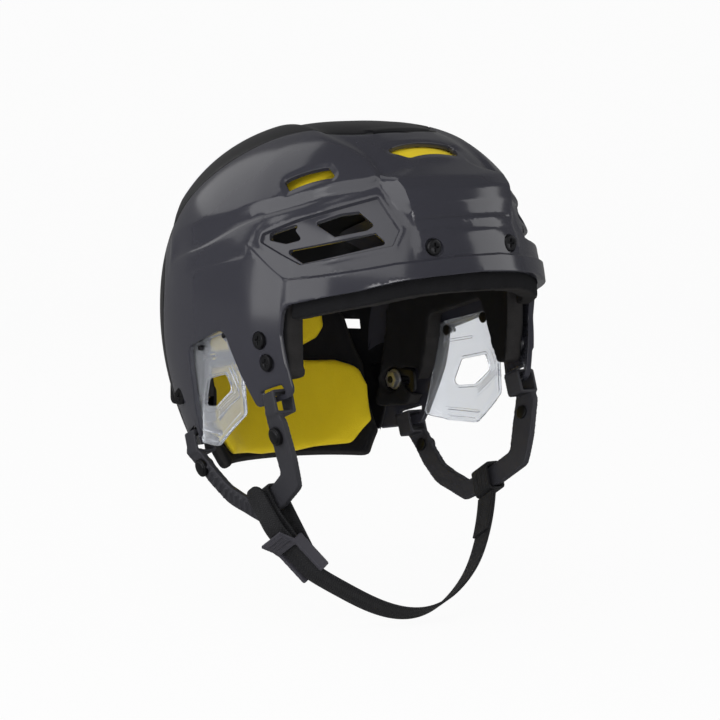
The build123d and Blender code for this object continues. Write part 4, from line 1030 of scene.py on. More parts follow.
def clear_material(name):
    """Clear polycarbonate with faint flow lines."""
    nodes = Nodes(name)
    spot = nodes.place()
    nodes.link(nodes.between(nodes.noise(spot, 40.0), 0.07, 0.12), nodes.shader.inputs["Roughness"])
    tint = nodes.colours(nodes.noise(spot, 14.0), (0.81, 0.84, 0.89), (0.86, 0.88, 0.92))
    nodes.link(tint, nodes.shader.inputs["Base Color"])
    nodes.bump(nodes.noise(spot, 55.0, 2.0), 0.05, 0.0006)
    nodes.set(Transmission_Weight=0.82, IOR=1.3)
    return nodes.material


MATERIALS = {}


def material(name):
    """The material of that name, made when it is first asked for."""
    colours = bpy.context.scene.helmet_colours
    table = {
        "front_plastic": (shell_material, colours.front_dark, colours.front_light),
        "rear_plastic": (shell_material, colours.rear_dark, colours.rear_light, 0.16, 0.22),
        "inner_plastic": (matte_material, (0.005, 0.005, 0.006), (0.008, 0.008, 0.009), 0.7, 500.0, 0.05),
        "foam": (foam_material,),
        "yellow_pad": (pad_material, colours.pad_dark, colours.pad_light),
        "clear_plastic": (clear_material,),
        "dark_metal": (metal_material, (0.02, 0.02, 0.022), (0.045, 0.045, 0.048), 0.32),
        "steel": (metal_material, (0.42, 0.42, 0.44), (0.56, 0.56, 0.58), 0.3),
        "harness_plastic": (matte_material, (0.030, 0.030, 0.036), (0.043, 0.043, 0.050), 0.5, 900.0, 0.12),
        "webbing": (web_material,),
        "buckle_plastic": (matte_material, (0.042, 0.041, 0.050), (0.060, 0.058, 0.070), 0.38, 1400.0, 0.08),
    }
    if name not in MATERIALS:
        make, *values = table[name]
        MATERIALS[name] = make(name, *values)
    return MATERIALS[name]


def is_shell(places):
    """Whether places of the dome are shell and not opening."""
    keep = ~inside(places[:, 1:], LOWER)
    for hand in (-1, 1):
        view = vent_view(places, hand)
        for hole in HOLES:
            keep &= ~inside(view, hole)
        keep &= ~(inside(plan(places, hand), LOBE_SLOT_LINE) & (places[:, 2] > UPPER_Z))
        for slot in STRAP_SLOTS:
            keep &= ~(inside(places[:, 1:], slot) & (places[:, 0] * hand > 40))
    keep &= ~(inside(plan(places), TOP_SLOT_LINE) & (places[:, 2] > UPPER_Z))
    half_x, half_z = REAR_VENT_HALF
    for x, z in placed(front, REAR_VENTS):
        near = (np.abs(np.abs(places[:, 0]) - x) < half_x) & (np.abs(places[:, 2] - z) < half_z)
        keep &= ~(near & (places[:, 1] > 60))
    return keep


def seam_chains(*shifts):
    """Lines on the dome along the seam, moved along Y."""
    chains = []
    for shift in shifts:
        above, beside = seam_lines(shift)
        over = on_top(divided(above, 1.6, False))
        over = over[over[:, 2] > TURN_Z - 1.5]
        chains.append((np.vstack([over[::-1] * np.array([-1, 1, 1]), over[1:]]), False))
        line = divided(beside, 1.6, False)
        line = line[(line[:, 1] < TURN_Z + 1.5) & (line[:, 1] > -122)]
        chains += [(on_side(line, hand), False) for hand in (-1, 1)]
    return chains


def lower_chains():
    """The lower edge on both sides."""
    line = LOWER[(LOWER[:, 1] > -115) & (LOWER[:, 0] < 134) & (LOWER[:, 0] > -126.5)]
    return [(on_side(line, hand), False) for hand in (-1, 1)]


def feature_chains(over_front):
    """Lines that the shell's points follow, so that its forms stay crisp."""
    chains = []
    for hand in (-1, 1):
        turn = np.array([hand, 1])
        for depth in (0.0, 2.5, 5.0):
            chains.append((on_top(divided(shrunk(LOBES, depth), 2.2, True) * turn), True))
        for line, rise, reach in FOLDS:
            ahead = np.gradient(line, axis=0)
            ahead /= np.linalg.norm(ahead, axis=1)[:, None]
            across = np.stack([-ahead[:, 1], ahead[:, 0]], axis=1)
            for offset in (-0.5, 0.0, 0.5):
                chains.append((on_side(divided(line + across * offset * reach, 2.2, False), hand), False))
        if not over_front:
            continue
        for depth in (-1.2, -2.6):
            chains.append((on_vent(shrunk(WELL_LINE, depth), hand), True))
        for depth in (-1.6, -3.2):
            chains.append((on_top(shrunk(LOBE_SLOT_LINE, depth) * turn), True))
        for slot in STRAP_SLOTS:
            chains.append((on_side(shrunk(slot, -2.0), hand), True))
    if not over_front:
        return chains
    for depth in (-2.5, -5.0):
        chains.append((on_top(shrunk(TOP_SLOT_LINE, depth)), True))
    ridge = divided(BRIM_LINE[:8], 2.0, False)
    for lift in (0.5, -0.3, -1.1):
        chains.append((on_front(ridge + np.array([0, lift])), False))
    for height, half in GROOVES:
        x = np.linspace(-half, half, 36)
        for lift in (-1.1, 0.0, 1.1):
            chains.append((on_front(np.stack([x, height + groove_rise(half, x) + lift], axis=1)), False))
    foot = panel_foot()
    chains.append((on_front(divided(np.vstack([foot, mirrored(foot[::-1])]), 2.2, False)), False))
    return chains


def front_chains():
    """Every edge and form line of the front shell."""
    chains = seam_chains(SEAM_GAP) + lower_chains() + feature_chains(True)
    chains.append((on_top(TOP_SLOT_LINE), True))
    for hand in (-1, 1):
        for line in [WELL_LINE, WELL_FLOOR] + HOLES:
            chains.append((on_vent(line, hand), True))
        chains.append((on_top(LOBE_SLOT_LINE * np.array([hand, 1])), True))
        for slot in STRAP_SLOTS:
            chains.append((on_side(slot, hand), True))
        for spot in SIDE_SCREWS:
            for radius in (SCREW_RECESS, SCREW_RECESS - RECESS_SLOPE):
                chains.append((on_side(circle(spot, radius), hand), True))
    for spot in FRONT_SCREWS:
        for radius in (SCREW_RECESS, SCREW_RECESS - RECESS_SLOPE):
            chains.append((on_front(circle(spot, radius)), True))
    heights = np.linspace(PANEL_Z[0] + 5, PANEL_Z[-1], 30)
    widths = plateau_edge(heights)
    edge = np.stack([widths, heights], axis=1)
    crease = np.vstack([edge, mirrored(edge[::-1])])
    chains.append((on_front(divided(crease, 2.0, False)), False))
    return chains


def rear_chains():
    """Every edge and form line of the rear shell."""
    chains = seam_chains(0.0) + lower_chains() + feature_chains(False)
    corners = np.array([(-1, -1), (1, -1), (1, 1), (-1, 1)]) * REAR_VENT_HALF
    for x, z in placed(front, REAR_VENTS):
        for hand in (-1, 1):
            chains.append((on_front(divided(corners + (hand * x, z), 1.5, True), True), True))
    return chains


def lap_shape(places, step, depth_ahead, depth_behind):
    """A lap under the seam, which bears on its own shell and clears the other past the step."""
    normal = normals(places)
    depth = np.where(behind_seam(places, step), depth_behind, depth_ahead)
    return places - normal * depth[:, None], places - normal * LAP_INNER


def lip_shape(places):
    """The two faces of the front shell's lips."""
    return lap_shape(places, LIP_BAND[2], LAP_BEARING, LAP_CLEAR)


def tongue_shape(places):
    """The two faces of the rear shell's tongue."""
    return lap_shape(places, TONGUE_BAND[2], LAP_CLEAR, LAP_BEARING)


def is_lip(places):
    """Whether places lie on a lip beside the tongue, above the ears' openings."""
    strip = behind_seam(places, LIP_BAND[0]) & ~behind_seam(places, LIP_BAND[1])
    wide = (np.abs(places[:, 0]) > 38) | (places[:, 2] < 0)
    return strip & wide & ~inside(places[:, 1:], LOWER) & (places[:, 2] > -56)


def is_tongue(places):
    """Whether places lie on the tongue at the crown."""
    strip = behind_seam(places, TONGUE_BAND[0]) & ~behind_seam(places, TONGUE_BAND[1])
    return strip & (np.abs(places[:, 0]) < 35) & (places[:, 2] > UPPER_Z)


def arm(hand):
    """One slotted adjusting arm of the rear shell."""
    rim = rounded(ARM, 4.0, 1.5)
    slot = rounded(ARM_SLOT, 2.9, 1.5)
    flat, faces = netted(
        np.zeros((0, 2)), [], [(rim, True), (slot, True)], lambda p: inside(p, rim) & ~inside(p, slot)
    )
    bm = bmesh.new()
    verts = [bm.verts.new((hand * ARM_FACE * MM, y * MM, z * MM)) for y, z in flat]
    for face in faces:
        bm.faces.new([verts[i] for i in face])
    obj = made("arm", bm)
    modifier = obj.modifiers.new("wall", "SOLIDIFY")
    modifier.thickness = ARM_WALL * MM
    modifier.offset = 1.0 if hand < 0 else -1.0
    applied(obj)
    chosen(obj)
    bpy.ops.object.mode_set(mode="EDIT")
    bpy.ops.mesh.select_all(action="SELECT")
    bpy.ops.mesh.normals_make_consistent(inside=False)
    bpy.ops.object.mode_set(mode="OBJECT")
    bevelled(obj, 0.4)
    return obj


def vertex_rows(obj, name):
    """A row of three numbers for each point of a piece."""
    values = np.zeros(len(obj.data.vertices) * 3)
    obj.data.vertices.foreach_get(name, values)
    return values.reshape(-1, 3)


def marked_cut(obj):
    """A mark on each point: 1 where the foam was cut across, 0 on its skins."""
    outward = normals(vertex_rows(obj, "co") / MM)
    agree = np.abs(np.sum(outward * vertex_rows(obj, "normal"), axis=1))
    cut = ramp((0.75 - agree) / 0.3)
    layer = obj.data.attributes.new("cut", "FLOAT", "POINT")
    layer.data.foreach_set("value", cut.astype(np.float32))


def remeshed(obj, voxel):
    """Rebuilds a piece as one skin on a grid of voxels."""
    modifier = obj.modifiers.new("voxels", "REMESH")
    modifier.mode = "VOXEL"
    modifier.voxel_size = voxel * MM
    applied(obj)


def swollen(obj, pressure, cap):
    """Fills a pad by cloth pressure, no point further than the cap."""
    before = [v.co.copy() for v in obj.data.vertices]
    modifier = obj.modifiers.new("cover", "CLOTH")
    settings = modifier.settings
    settings.use_pressure = True
    settings.uniform_pressure_force = pressure
    settings.effector_weights.gravity = 0
    settings.tension_stiffness = 30
    settings.compression_stiffness = 30
    settings.bending_stiffness = 2.0
    scene = bpy.context.scene
    for number in range(1, 21):
        scene.frame_set(number)
    applied(obj)
    scene.frame_set(1)
    for vertex, start in zip(obj.data.vertices, before):
        moved = vertex.co - start
        if moved.length > cap * MM:
            vertex.co = start + moved.normalized() * cap * MM


def relaxed(obj, rounds, factor=0.5):
    """Evens out a piece's points."""
    modifier = obj.modifiers.new("relax", "SMOOTH")
    modifier.factor = factor
    modifier.iterations = rounds
    applied(obj)


def cushion(name, view, outline, inset, thickness, edge, spacing):
    """A pad between two depths under the dome, with rounded edges, inside an outline."""
    behind = view == "behind"
    columns = (0, 2) if behind else (0, 1)
    middle = inset + thickness / 2

    def project(line):
        return on_front(line, True) if behind else on_top(line)

    def sunk(places):
        return (places - normals(places) * middle)[:, columns]

    def over(line):
        """Places on the dome that lie over a line at the pad's middle depth."""
        guess = line.copy()
        for _ in range(8):
            guess = guess + line - sunk(project(guess))
        return project(guess)

    def shape(places):
        depth = depth_in(sunk(places), outline)
        near = np.clip(1 - depth / edge, 0, 1)
        drawn = edge * (1 - np.sqrt(1 - near ** 2)) * min(1.0, 0.46 * thickness / edge)
        normal = normals(places)
        outer = places - normal * (inset + drawn)[:, None]
        return outer, places - normal * (inset + thickness - drawn)[:, None]

    def keep(places):
        near_side = places[:, 1] > CENTRE_Y if behind else places[:, 2] > WIDEST_Z
        return inside(sunk(places), outline) & near_side

    lines = [(over(shrunk(outline, edge * share)), True) for share in (0.0, 0.08, 0.3, 0.62, 1.0)]
    return charted(name, keep, lines, spacing, shape)


def circle_through(places):
    """Centre and radius of the circle through three places."""
    (ax, ay), (bx, by), (cx, cy) = places
    double = 2 * (ax * (by - cy) + bx * (cy - ay) + cx * (ay - by))
    a2, b2, c2 = ax * ax + ay * ay, bx * bx + by * by, cx * cx + cy * cy
    x = (a2 * (by - cy) + b2 * (cy - ay) + c2 * (ay - by)) / double
    y = (a2 * (cx - bx) + b2 * (ax - cx) + c2 * (bx - ax)) / double
    return x, y, math.hypot(ax - x, ay - y)


def ear_guard(hand):
    """A clear plate with a beaded rim, a hole and moulded chevrons."""
    rim = rounded(placed(side, GUARD), 4.0, 1.4)
    hole = rounded(placed(side, GUARD_HOLE), 3.0, 1.2)
    rivets = [circle(spot, 2.0, 20) for spot in GUARD_RIVETS]
    middle = hole.mean(axis=0)
    corners = placed(side, GUARD_HOLE)[1:4]
    ribs = [divided(middle + (corners - middle) * share, 1.4, False) for share in (1.26, 1.42, 1.58, 1.74)]
    for line in GUARD_LINES:
        ribs.append(divided(placed(side, line), 1.4, False))
    centre_x, centre_y, reach = circle_through([(x * HALF_WIDTH, y) for x, y in GUARD_PLAN])

    def keep(points):
        kept = inside(points, rim) & ~inside(points, hole)
        for rivet in rivets:
            kept &= ~inside(points, rivet)
        return kept

    rings = [rim] + [shrunk(rim, depth) for depth in (1.0, 2.2, 3.0)]
    rings += [hole] + [shrunk(hole, depth) for depth in (-1.2, -1.8)]
    chains = [(ring, True) for ring in rings + rivets]
    for rib in ribs:
        ahead = np.gradient(rib, axis=0)
        across = np.stack([-ahead[:, 1], ahead[:, 0]], axis=1) / np.linalg.norm(ahead, axis=1)[:, None]
        for offset in (-0.8, -0.35, 0.35, 0.8):
            line = rib + across * offset
            chains.append((line[depth_in(line, rim) > 3.2], False))
    chains = [(chain, closed) for chain, closed in chains if len(chain) > 2]
    low, high = rim.min(axis=0), rim.max(axis=0)
    grid = hex_grid(GUARD_SPACING, 90) + (low + high) / 2
    grid = grid[keep(grid)]
    flat, faces = netted(grid, np.full(len(grid), GUARD_SPACING), chains, keep)
    depth = depth_in(flat, rim)
    lift = 0.7 * ramp((3.0 - depth) / 0.8) + 0.6 * ramp((1.8 - distance(flat, hole, True)[0]) / 0.6)
    for rib in ribs:
        ridge = ramp((0.8 - distance(flat, rib, False)[0]) / 0.45)
        lift = np.maximum(lift, 0.6 * ridge * ramp((depth - 2.6) / 1.0))
    arc = centre_x + np.sqrt(reach ** 2 - (flat[:, 0] - centre_y) ** 2)
    tucked = on_side(flat, 1)[:, 0] - WALL - 0.4
    share = ramp((flat[:, 0] - 28) / 8)
    x = arc * (1 - share) + np.minimum(tucked, arc + 6) * share
    lift = lift * (1 - share)
    outer = np.stack([hand * (x + lift), flat[:, 0], flat[:, 1]], axis=1)
    inner = np.stack([hand * (x - GUARD_WALL - lift * 0.4), flat[:, 0], flat[:, 1]], axis=1)
    outward = np.zeros_like(outer)
    outward[:, 0] = hand
    obj = walled("guard", outer, inner, faces, outward)
    for polygon in obj.data.polygons:
        polygon.material_index = 0
    return obj


def plate_face(obj, hand):
    """The outward normal of a piece's largest flat face, and how far out that face lies."""
    areas = {}
    for polygon in obj.data.polygons:
        if polygon.normal.x * hand > 0.3:
            key = tuple(round(value, 2) for value in polygon.normal)
            area, normal = areas.get(key, (0.0, None))
            areas[key] = (area + polygon.area, polygon.normal.copy())
    normal = max(areas.values(), key=lambda row: row[0])[1]
    reach = max(normal.dot(v.co) for v in obj.data.vertices if abs(v.co.z) > 0.075 and v.co.y < 0.02)
    return normal, reach


def trimmed(obj, tip, along, across, radius, half):
    """Rounds the two corners at a strap's free end."""
    bm = bmesh.new()
    bm.from_mesh(obj.data)
    for hand in (-1, 1):
        for turn in (12, 27, 42, 57, 72):
            angle = math.radians(turn)
            normal = along * math.cos(angle) + across * (hand * math.sin(angle))
            place = tip - along * radius + across * (hand * (half - radius)) + normal * radius
            cut = bmesh.ops.bisect_plane(
                bm, geom=bm.verts[:] + bm.edges[:] + bm.faces[:], plane_co=place * MM, plane_no=normal,
                clear_outer=True, dist=1e-6,
            )
            rim = [item for item in cut["geom_cut"] if isinstance(item, bmesh.types.BMEdge)]
            bmesh.ops.holes_fill(bm, edges=rim, sides=0)
    bmesh.ops.recalc_face_normals(bm, faces=bm.faces)
    bm.to_mesh(obj.data)
    bm.free()


def harness_ribs(obj, hand):
    """Small ridges across the rear arm of a harness, on its outer face."""
    normal, reach = plate_face(obj, hand)
    slot_y, slot_z = STRAP_SLOT_LIPS[0]
    ribs = []
    for share in np.linspace(0.06, 0.94, 11):
        ends = []
        for line in (HARNESS_UPPER, HARNESS_LOWER):
            steps = np.linspace(0, 1, len(line))
            y, z = (np.interp(share, steps, values) for values in zip(*line))
            ends.append(Vector((0, slot_y + CROWN_RISE * y, slot_z + CROWN_RISE * z)))
        gap = (ends[1] - ends[0]).normalized() * 2.2
        for end, shift in zip(ends, (gap, -gap)):
            end += shift
            end.x = (reach / MM - normal.y * end.y - normal.z * end.z) / normal.x
        ribs.append(bar(ends[0], ends[1], 2.0, 1.1, normal))
    return ribs


def on_web(right, up):
    """A place on the plane that the strap hangs in, from shares of the half width."""
    return WEB_ORIGIN + Vector((right * HALF_WIDTH, 0, 0)) + WEB_UP * (up * HALF_WIDTH)


def buckle_ribs():
    """Three ridges on the buckle's lifting tab."""
    down = Vector((BUCKLE_LEAN, 0, 0)) - WEB_UP * math.sqrt(1 - BUCKLE_LEAN ** 2)
    out = -WEB_ACROSS.cross(down)
    middle = on_web(*BUCKLE)
    ribs = []
    for share in (0.1, 0.4, 0.7):
        along = BUCKLE_LENGTH * (-0.433 - 0.234 * share)
        place = middle + down * along + out * (BUCKLE_LENGTH * (0.133 + 0.134 * share))
        ribs.append(bar(place - WEB_ACROSS * 9.5, place + WEB_ACROSS * 9.5, 1.8, 0.9, out))
    return ribs


def woven(obj):
    """Marks each point with its place along and across the strap, in millimetres."""
    line = curved([(x * HALF_WIDTH, up * HALF_WIDTH) for x, up in STRAP_LINE], 6)
    lengths = np.concatenate([[0], np.cumsum(np.linalg.norm(np.diff(line, axis=0), axis=1))])
    places = vertex_rows(obj, "co") / MM - np.array(WEB_ORIGIN)
    flat = np.stack([places[:, 0], places @ np.array(WEB_UP)], axis=1)
    share = distance(flat, line, False)[2] * (len(line) - 1)
    along = np.interp(share, np.arange(len(line)), lengths)
    across = places @ np.array(WEB_ACROSS) + WEB_HALF
    values = np.stack([along, across, np.zeros(len(places))], axis=1).astype(np.float32)
    layer = obj.data.attributes.new("weave", "FLOAT_VECTOR", "POINT")
    layer.data.foreach_set("vector", values.ravel())


def bar(start, end, width, height, up):
    """A small rounded ridge from one place to another, standing along up."""
    bm = bmesh.new()
    run = (end - start).normalized()
    sideways = run.cross(up).normalized() * (width / 2)
    verts = []
    for place in (start, end):
        for shift, lift in ((-1, -0.6), (-1, 0.4), (-0.45, 1.0), (0.45, 1.0), (1, 0.4), (1, -0.6)):
            verts.append(bm.verts.new((place + sideways * shift + up * (lift * height)) * MM))
    for index in range(6):
        after = (index + 1) % 6
        bm.faces.new((verts[index], verts[after], verts[6 + after], verts[6 + index]))
    bm.faces.new(verts[:6][::-1])
    bm.faces.new(verts[6:])
    bmesh.ops.recalc_face_normals(bm, faces=bm.faces)
    return made("bar", bm)


def backdrop(turn):
    """A floor that bends up into a wall, turned to face the camera."""
    low = CAD_BOX[0][2] - 0.002
    bm = bmesh.new()
    lines = []
    for share in np.linspace(0, 1, 41):
        swing = min(max((share - 0.55) / 0.25, 0), 1) * math.pi / 2
        y = FLOOR_START + min(share, 0.55) / 0.55 * FLOOR_RUN + BEND * math.sin(swing)
        z = low + BEND * (1 - math.cos(swing)) + max(share - 0.8, 0) / 0.2 * WALL_RISE
        lines.append([bm.verts.new((x, y, z)) for x in (-4.0, -2.0, 0.0, 2.0, 4.0)])
    for first, second in zip(lines, lines[1:]):
        for index in range(4):
            bm.faces.new((first[index], first[index + 1], second[index + 1], second[index]))
    floor = made("floor", bm)
    floor.data.transform(Matrix.Rotation(-turn, 4, "Z"))
    smooth(floor, 180)
    return floor


def backdrop_material(name):
    """Pale paper: white to the camera and through clear plastic, dim in reflections."""
    nodes = Nodes(name)
    nodes.set(Roughness=0.9)
    paper = nodes.colours(nodes.noise(nodes.place(), 3.0), (0.86, 0.86, 0.86), (0.88, 0.88, 0.88))
    nodes.link(paper, nodes.shader.inputs["Base Color"])
    path = nodes.add("ShaderNodeLightPath")
    glow = nodes.add("ShaderNodeEmission", Color=(1, 1, 1, 1), Strength=1.0)
    seen = nodes.maths("MAXIMUM", path.outputs["Is Camera Ray"], path.outputs["Is Transmission Ray"])
    shade = nodes.add("ShaderNodeEmission", Color=(1, 1, 1, 1), Strength=FLOOR_IN_GLOSS)
    dim = nodes.add("ShaderNodeMixShader")
    blend = nodes.add("ShaderNodeMixShader")
    nodes.link(path.outputs["Is Glossy Ray"], dim.inputs[0])
    nodes.link(nodes.shader.outputs[0], dim.inputs[1])
    nodes.link(shade.outputs[0], dim.inputs[2])
    nodes.link(nodes.maths("MULTIPLY", seen, SEEN_WHITE), blend.inputs[0])
    nodes.link(dim.outputs[0], blend.inputs[1])
    nodes.link(glow.outputs[0], blend.inputs[2])
    nodes.link(blend.outputs[0], nodes.tree.nodes["Material Output"].inputs["Surface"])
    return nodes.material


def studio_world():
    """A white surround: bright to the camera and through clear plastic, dim in reflections."""
    world = bpy.data.worlds.new("studio")
    world.use_nodes = True
    tree = world.node_tree
    back = tree.nodes["Background"]
    back.inputs["Color"].default_value = (1, 1, 1, 1)
    rays = tree.nodes.new("ShaderNodeLightPath")
    level = tree.nodes.new("ShaderNodeMapRange")
    level.inputs["To Min"].default_value = WORLD_LEVEL
    level.inputs["To Max"].default_value = WORLD_IN_GLOSS
    tree.links.new(rays.outputs["Is Glossy Ray"], level.inputs["Value"])
    seen = tree.nodes.new("ShaderNodeMath")
    seen.operation = "MAXIMUM"
    tree.links.new(rays.outputs["Is Camera Ray"], seen.inputs[0])
    tree.links.new(rays.outputs["Is Transmission Ray"], seen.inputs[1])
    white = tree.nodes.new("ShaderNodeMapRange")
    white.inputs["To Max"].default_value = SEEN_WHITE
    tree.links.new(seen.outputs["Value"], white.inputs["Value"])
    tree.links.new(level.outputs["Result"], white.inputs["To Min"])
    tree.links.new(white.outputs["Result"], back.inputs["Strength"])
    return world


class HELMET_PG_shells(bpy.types.PropertyGroup):
    """Settings of the two shells"""
    spacing: bpy.props.FloatProperty(
        name="Spacing", description="Distance between the shells' points",
        default=0.0025, min=0.001, unit="LENGTH",
    )
    edge: bpy.props.FloatProperty(
        name="Edge", description="Radius of the shells' edges", default=0.0005, min=0.0, unit="LENGTH",
    )


class HELMET_PG_liner(bpy.types.PropertyGroup):
    """Settings of the fabric pads"""
    spacing: bpy.props.FloatProperty(
        name="Spacing", description="Distance between the pads' points",
        default=0.003, min=0.001, unit="LENGTH",
    )
    pressure: bpy.props.FloatProperty(
        name="Pressure", description="Cloth pressure in the pads", default=4.0, min=0.0,
    )
    swell: bpy.props.FloatProperty(
        name="Swell", description="How far a pad's cover may move", default=0.0008, min=0.0, unit="LENGTH",
    )


class HELMET_PG_colours(bpy.types.PropertyGroup):
    """Colours of the shells and the pads, each mottled between two tones"""
    front_dark: bpy.props.FloatVectorProperty(
        name="Front dark", description="Darker tone of the front shell",
        default=(0.033, 0.033, 0.042), size=3, min=0.0, max=1.0, subtype="COLOR",
    )
    front_light: bpy.props.FloatVectorProperty(
        name="Front light", description="Lighter tone of the front shell",
        default=(0.041, 0.041, 0.052), size=3, min=0.0, max=1.0, subtype="COLOR",
    )
    rear_dark: bpy.props.FloatVectorProperty(
        name="Rear dark", description="Darker tone of the rear shell",
        default=(0.005, 0.005, 0.006), size=3, min=0.0, max=1.0, subtype="COLOR",
    )
    rear_light: bpy.props.FloatVectorProperty(
        name="Rear light", description="Lighter tone of the rear shell",
        default=(0.008, 0.008, 0.010), size=3, min=0.0, max=1.0, subtype="COLOR",
    )
    pad_dark: bpy.props.FloatVectorProperty(
        name="Pad dark", description="Darker tone of the fabric pads",
        default=(0.84, 0.62, 0.012), size=3, min=0.0, max=1.0, subtype="COLOR",
    )
    pad_light: bpy.props.FloatVectorProperty(
        name="Pad light", description="Lighter tone of the fabric pads",
        default=(0.95, 0.72, 0.022), size=3, min=0.0, max=1.0, subtype="COLOR",
    )


class HELMET_PG_stage(bpy.types.PropertyGroup):
    """Settings of the camera"""
    azimuth: bpy.props.FloatProperty(
        name="Azimuth", description="Camera's turn from the front, towards the wearer's right",
        default=math.radians(36.31), unit="ROTATION",
    )
    elevation: bpy.props.FloatProperty(
        name="Elevation", description="Camera's height angle", default=math.radians(6.05), unit="ROTATION",
    )
    distance: bpy.props.FloatProperty(
        name="Distance", description="Camera's distance", default=2.2149, min=0.1, unit="LENGTH",
    )
    lens: bpy.props.FloatProperty(
        name="Lens", description="Focal length in millimetres", default=181.95, min=1.0,
    )


class HELMET_OT_front_shell(bpy.types.Operator):
    """Front shell with its forehead panel, brim, vents and lips"""
    bl_idname = "helmet.front_shell"
    bl_label = "Front shell"

    def execute(self, context):
        values = context.scene.helmet_shells
        spacing = values.spacing / MM
        panel = np.array([[-56.0, 14.0], [56.0, 14.0], [40.0, 70.0], [-40.0, 70.0]])
        fine = [(*boxed(on_front(panel), 0.0), 0.7 * spacing)]
        fine += [(*boxed(on_vent(WELL_LINE, hand), 3.0), 0.45 * spacing) for hand in (-1, 1)]
        skin = charted(
            "front_skin", lambda p: is_shell(p) & ~behind_seam(p, SEAM_GAP), front_chains(), spacing, shaped, fine
        )
        bevelled(skin, values.edge / MM, segments=3, by_weight=True)
        lines = seam_chains(*LIP_BAND) + lower_chains()
        lips = charted("front_lips", is_lip, lines, LAP_SPACING, lip_shape)
        obj = joined("front_shell_skin", [skin, lips])
        smooth(obj, 32)
        dressed(obj, material("front_plastic"), "front_plastic", "front", "front_shell")
        return {"FINISHED"}


class HELMET_OT_rear_shell(bpy.types.Operator):
    """Rear shell with its crown tongue and slotted arms"""
    bl_idname = "helmet.rear_shell"
    bl_label = "Rear shell"

    def execute(self, context):
        values = context.scene.helmet_shells
        spacing = values.spacing / MM
        skin = charted("rear_skin", lambda p: is_shell(p) & behind_seam(p, 0.0), rear_chains(), spacing, shaped)
        bevelled(skin, values.edge / MM, segments=3, by_weight=True)
        tongue = charted("rear_tongue", is_tongue, seam_chains(*TONGUE_BAND), LAP_SPACING, tongue_shape)
        obj = joined("rear_shell_skin", [skin, tongue, arm(-1), arm(1)])
        smooth(obj, 32)
        dressed(obj, material("rear_plastic"), "rear_plastic", "rear", "rear_shell")
        return {"FINISHED"}


class HELMET_OT_foam(bpy.types.Operator):
    """Black foam pieces with rounded skins and cut edges"""
    bl_idname = "helmet.foam"
    bl_label = "Foam"

    def execute(self, context):
        for node in ("forehead_pad", "brim_liner", "right_side_liner", "left_side_liner"):
            obj = copied(node + "_foam", [node], 0)
            remeshed(obj, 1.5)
            relaxed(obj, 6)
            marked_cut(obj)
            smooth(obj, 180)
            dressed(obj, material("foam"), "foam", "front", node)
        outline = rounded(placed(front, REAR_LINER), 5.0, 3.0)
        obj = cushion("rear_liner_foam", "behind", outline, 8.0, 9.0, 3.5, 4.0)
        marked_cut(obj)
        smooth(obj, 60)
        dressed(obj, material("foam"), "foam", "rear", "rear_liner")
        return {"FINISHED"}


class HELMET_OT_pads(bpy.types.Operator):
    """Yellow fabric pads, filled by cloth pressure"""
    bl_idname = "helmet.pads"
    bl_label = "Pads"

    def execute(self, context):
        values = context.scene.helmet_liner
        for node, body, view, shares, other_hand, inset, thickness, edge in PADS:
            corners = placed(front if view == "behind" else top, shares)
            outline = rounded(mirrored(corners) if other_hand else corners, 5.0, 2.0)
            obj = cushion(node + "_cover", view, outline, inset + 0.3, thickness - 0.8, edge, values.spacing / MM)
            swollen(obj, values.pressure, values.swell / MM)
            relaxed(obj, 2, 0.4)
            smooth(obj, 75)
            dressed(obj, material("yellow_pad"), "yellow_pad", body, node)
        return {"FINISHED"}


class HELMET_OT_guards(bpy.types.Operator):
    """Clear ear guards and their rivets"""
    bl_idname = "helmet.guards"
    bl_label = "Ear guards"

    def execute(self, context):
        for node, hand in (("right_ear_guard", -1), ("left_ear_guard", 1)):
            obj = ear_guard(hand)
            obj.name = node + "_clear"
            bevelled(obj, 0.3, segments=2, by_weight=True)
            smooth(obj, 32)
            dressed(obj, material("clear_plastic"), "clear_plastic", "front", node)
        obj = copied("ear_guard_rivets_turned", ["ear_guard_rivets"])
        bevelled(obj, 0.3)
        smooth(obj, 35)
        dressed(obj, material("dark_metal"), "dark_metal", "front", "ear_guard_rivets")
        return {"FINISHED"}


class HELMET_OT_fasteners(bpy.types.Operator):
    """Screws, nuts and washers with rounded edges"""
    bl_idname = "helmet.fasteners"
    bl_label = "Fasteners"

    def execute(self, context):
        for node, slot, width in FASTENERS:
            obj = copied(node + "_turned", [node])
            bevelled(obj, width, 40, 3)
            smooth(obj, 35)
            dressed(obj, material(slot), slot, "front", node)
        return {"FINISHED"}


class HELMET_OT_harness(bpy.types.Operator):
    """Moulded side harnesses and their snaps"""
    bl_idname = "helmet.harness"
    bl_label = "Harness"

    def execute(self, context):
        for side_name, hand in (("right", -1), ("left", 1)):
            body = side_name + "_harness_body"
            obj = copied(side_name + "_harness_moulding", [side_name + "_harness"], 0)
            obj = joined(obj.name, [obj] + harness_ribs(obj, hand))
            remeshed(obj, 0.55)
            relaxed(obj, 9)
            smooth(obj, 180)
            dressed(obj, material("harness_plastic"), "harness_plastic", body, side_name + "_harness")
            snap = copied(side_name + "_snaps_pressed", [side_name + "_snaps"])
            bevelled(snap, 0.5, 35, 3)
            smooth(snap, 35)
            dressed(snap, material("dark_metal"), "dark_metal", body, side_name + "_snaps")
        return {"FINISHED"}


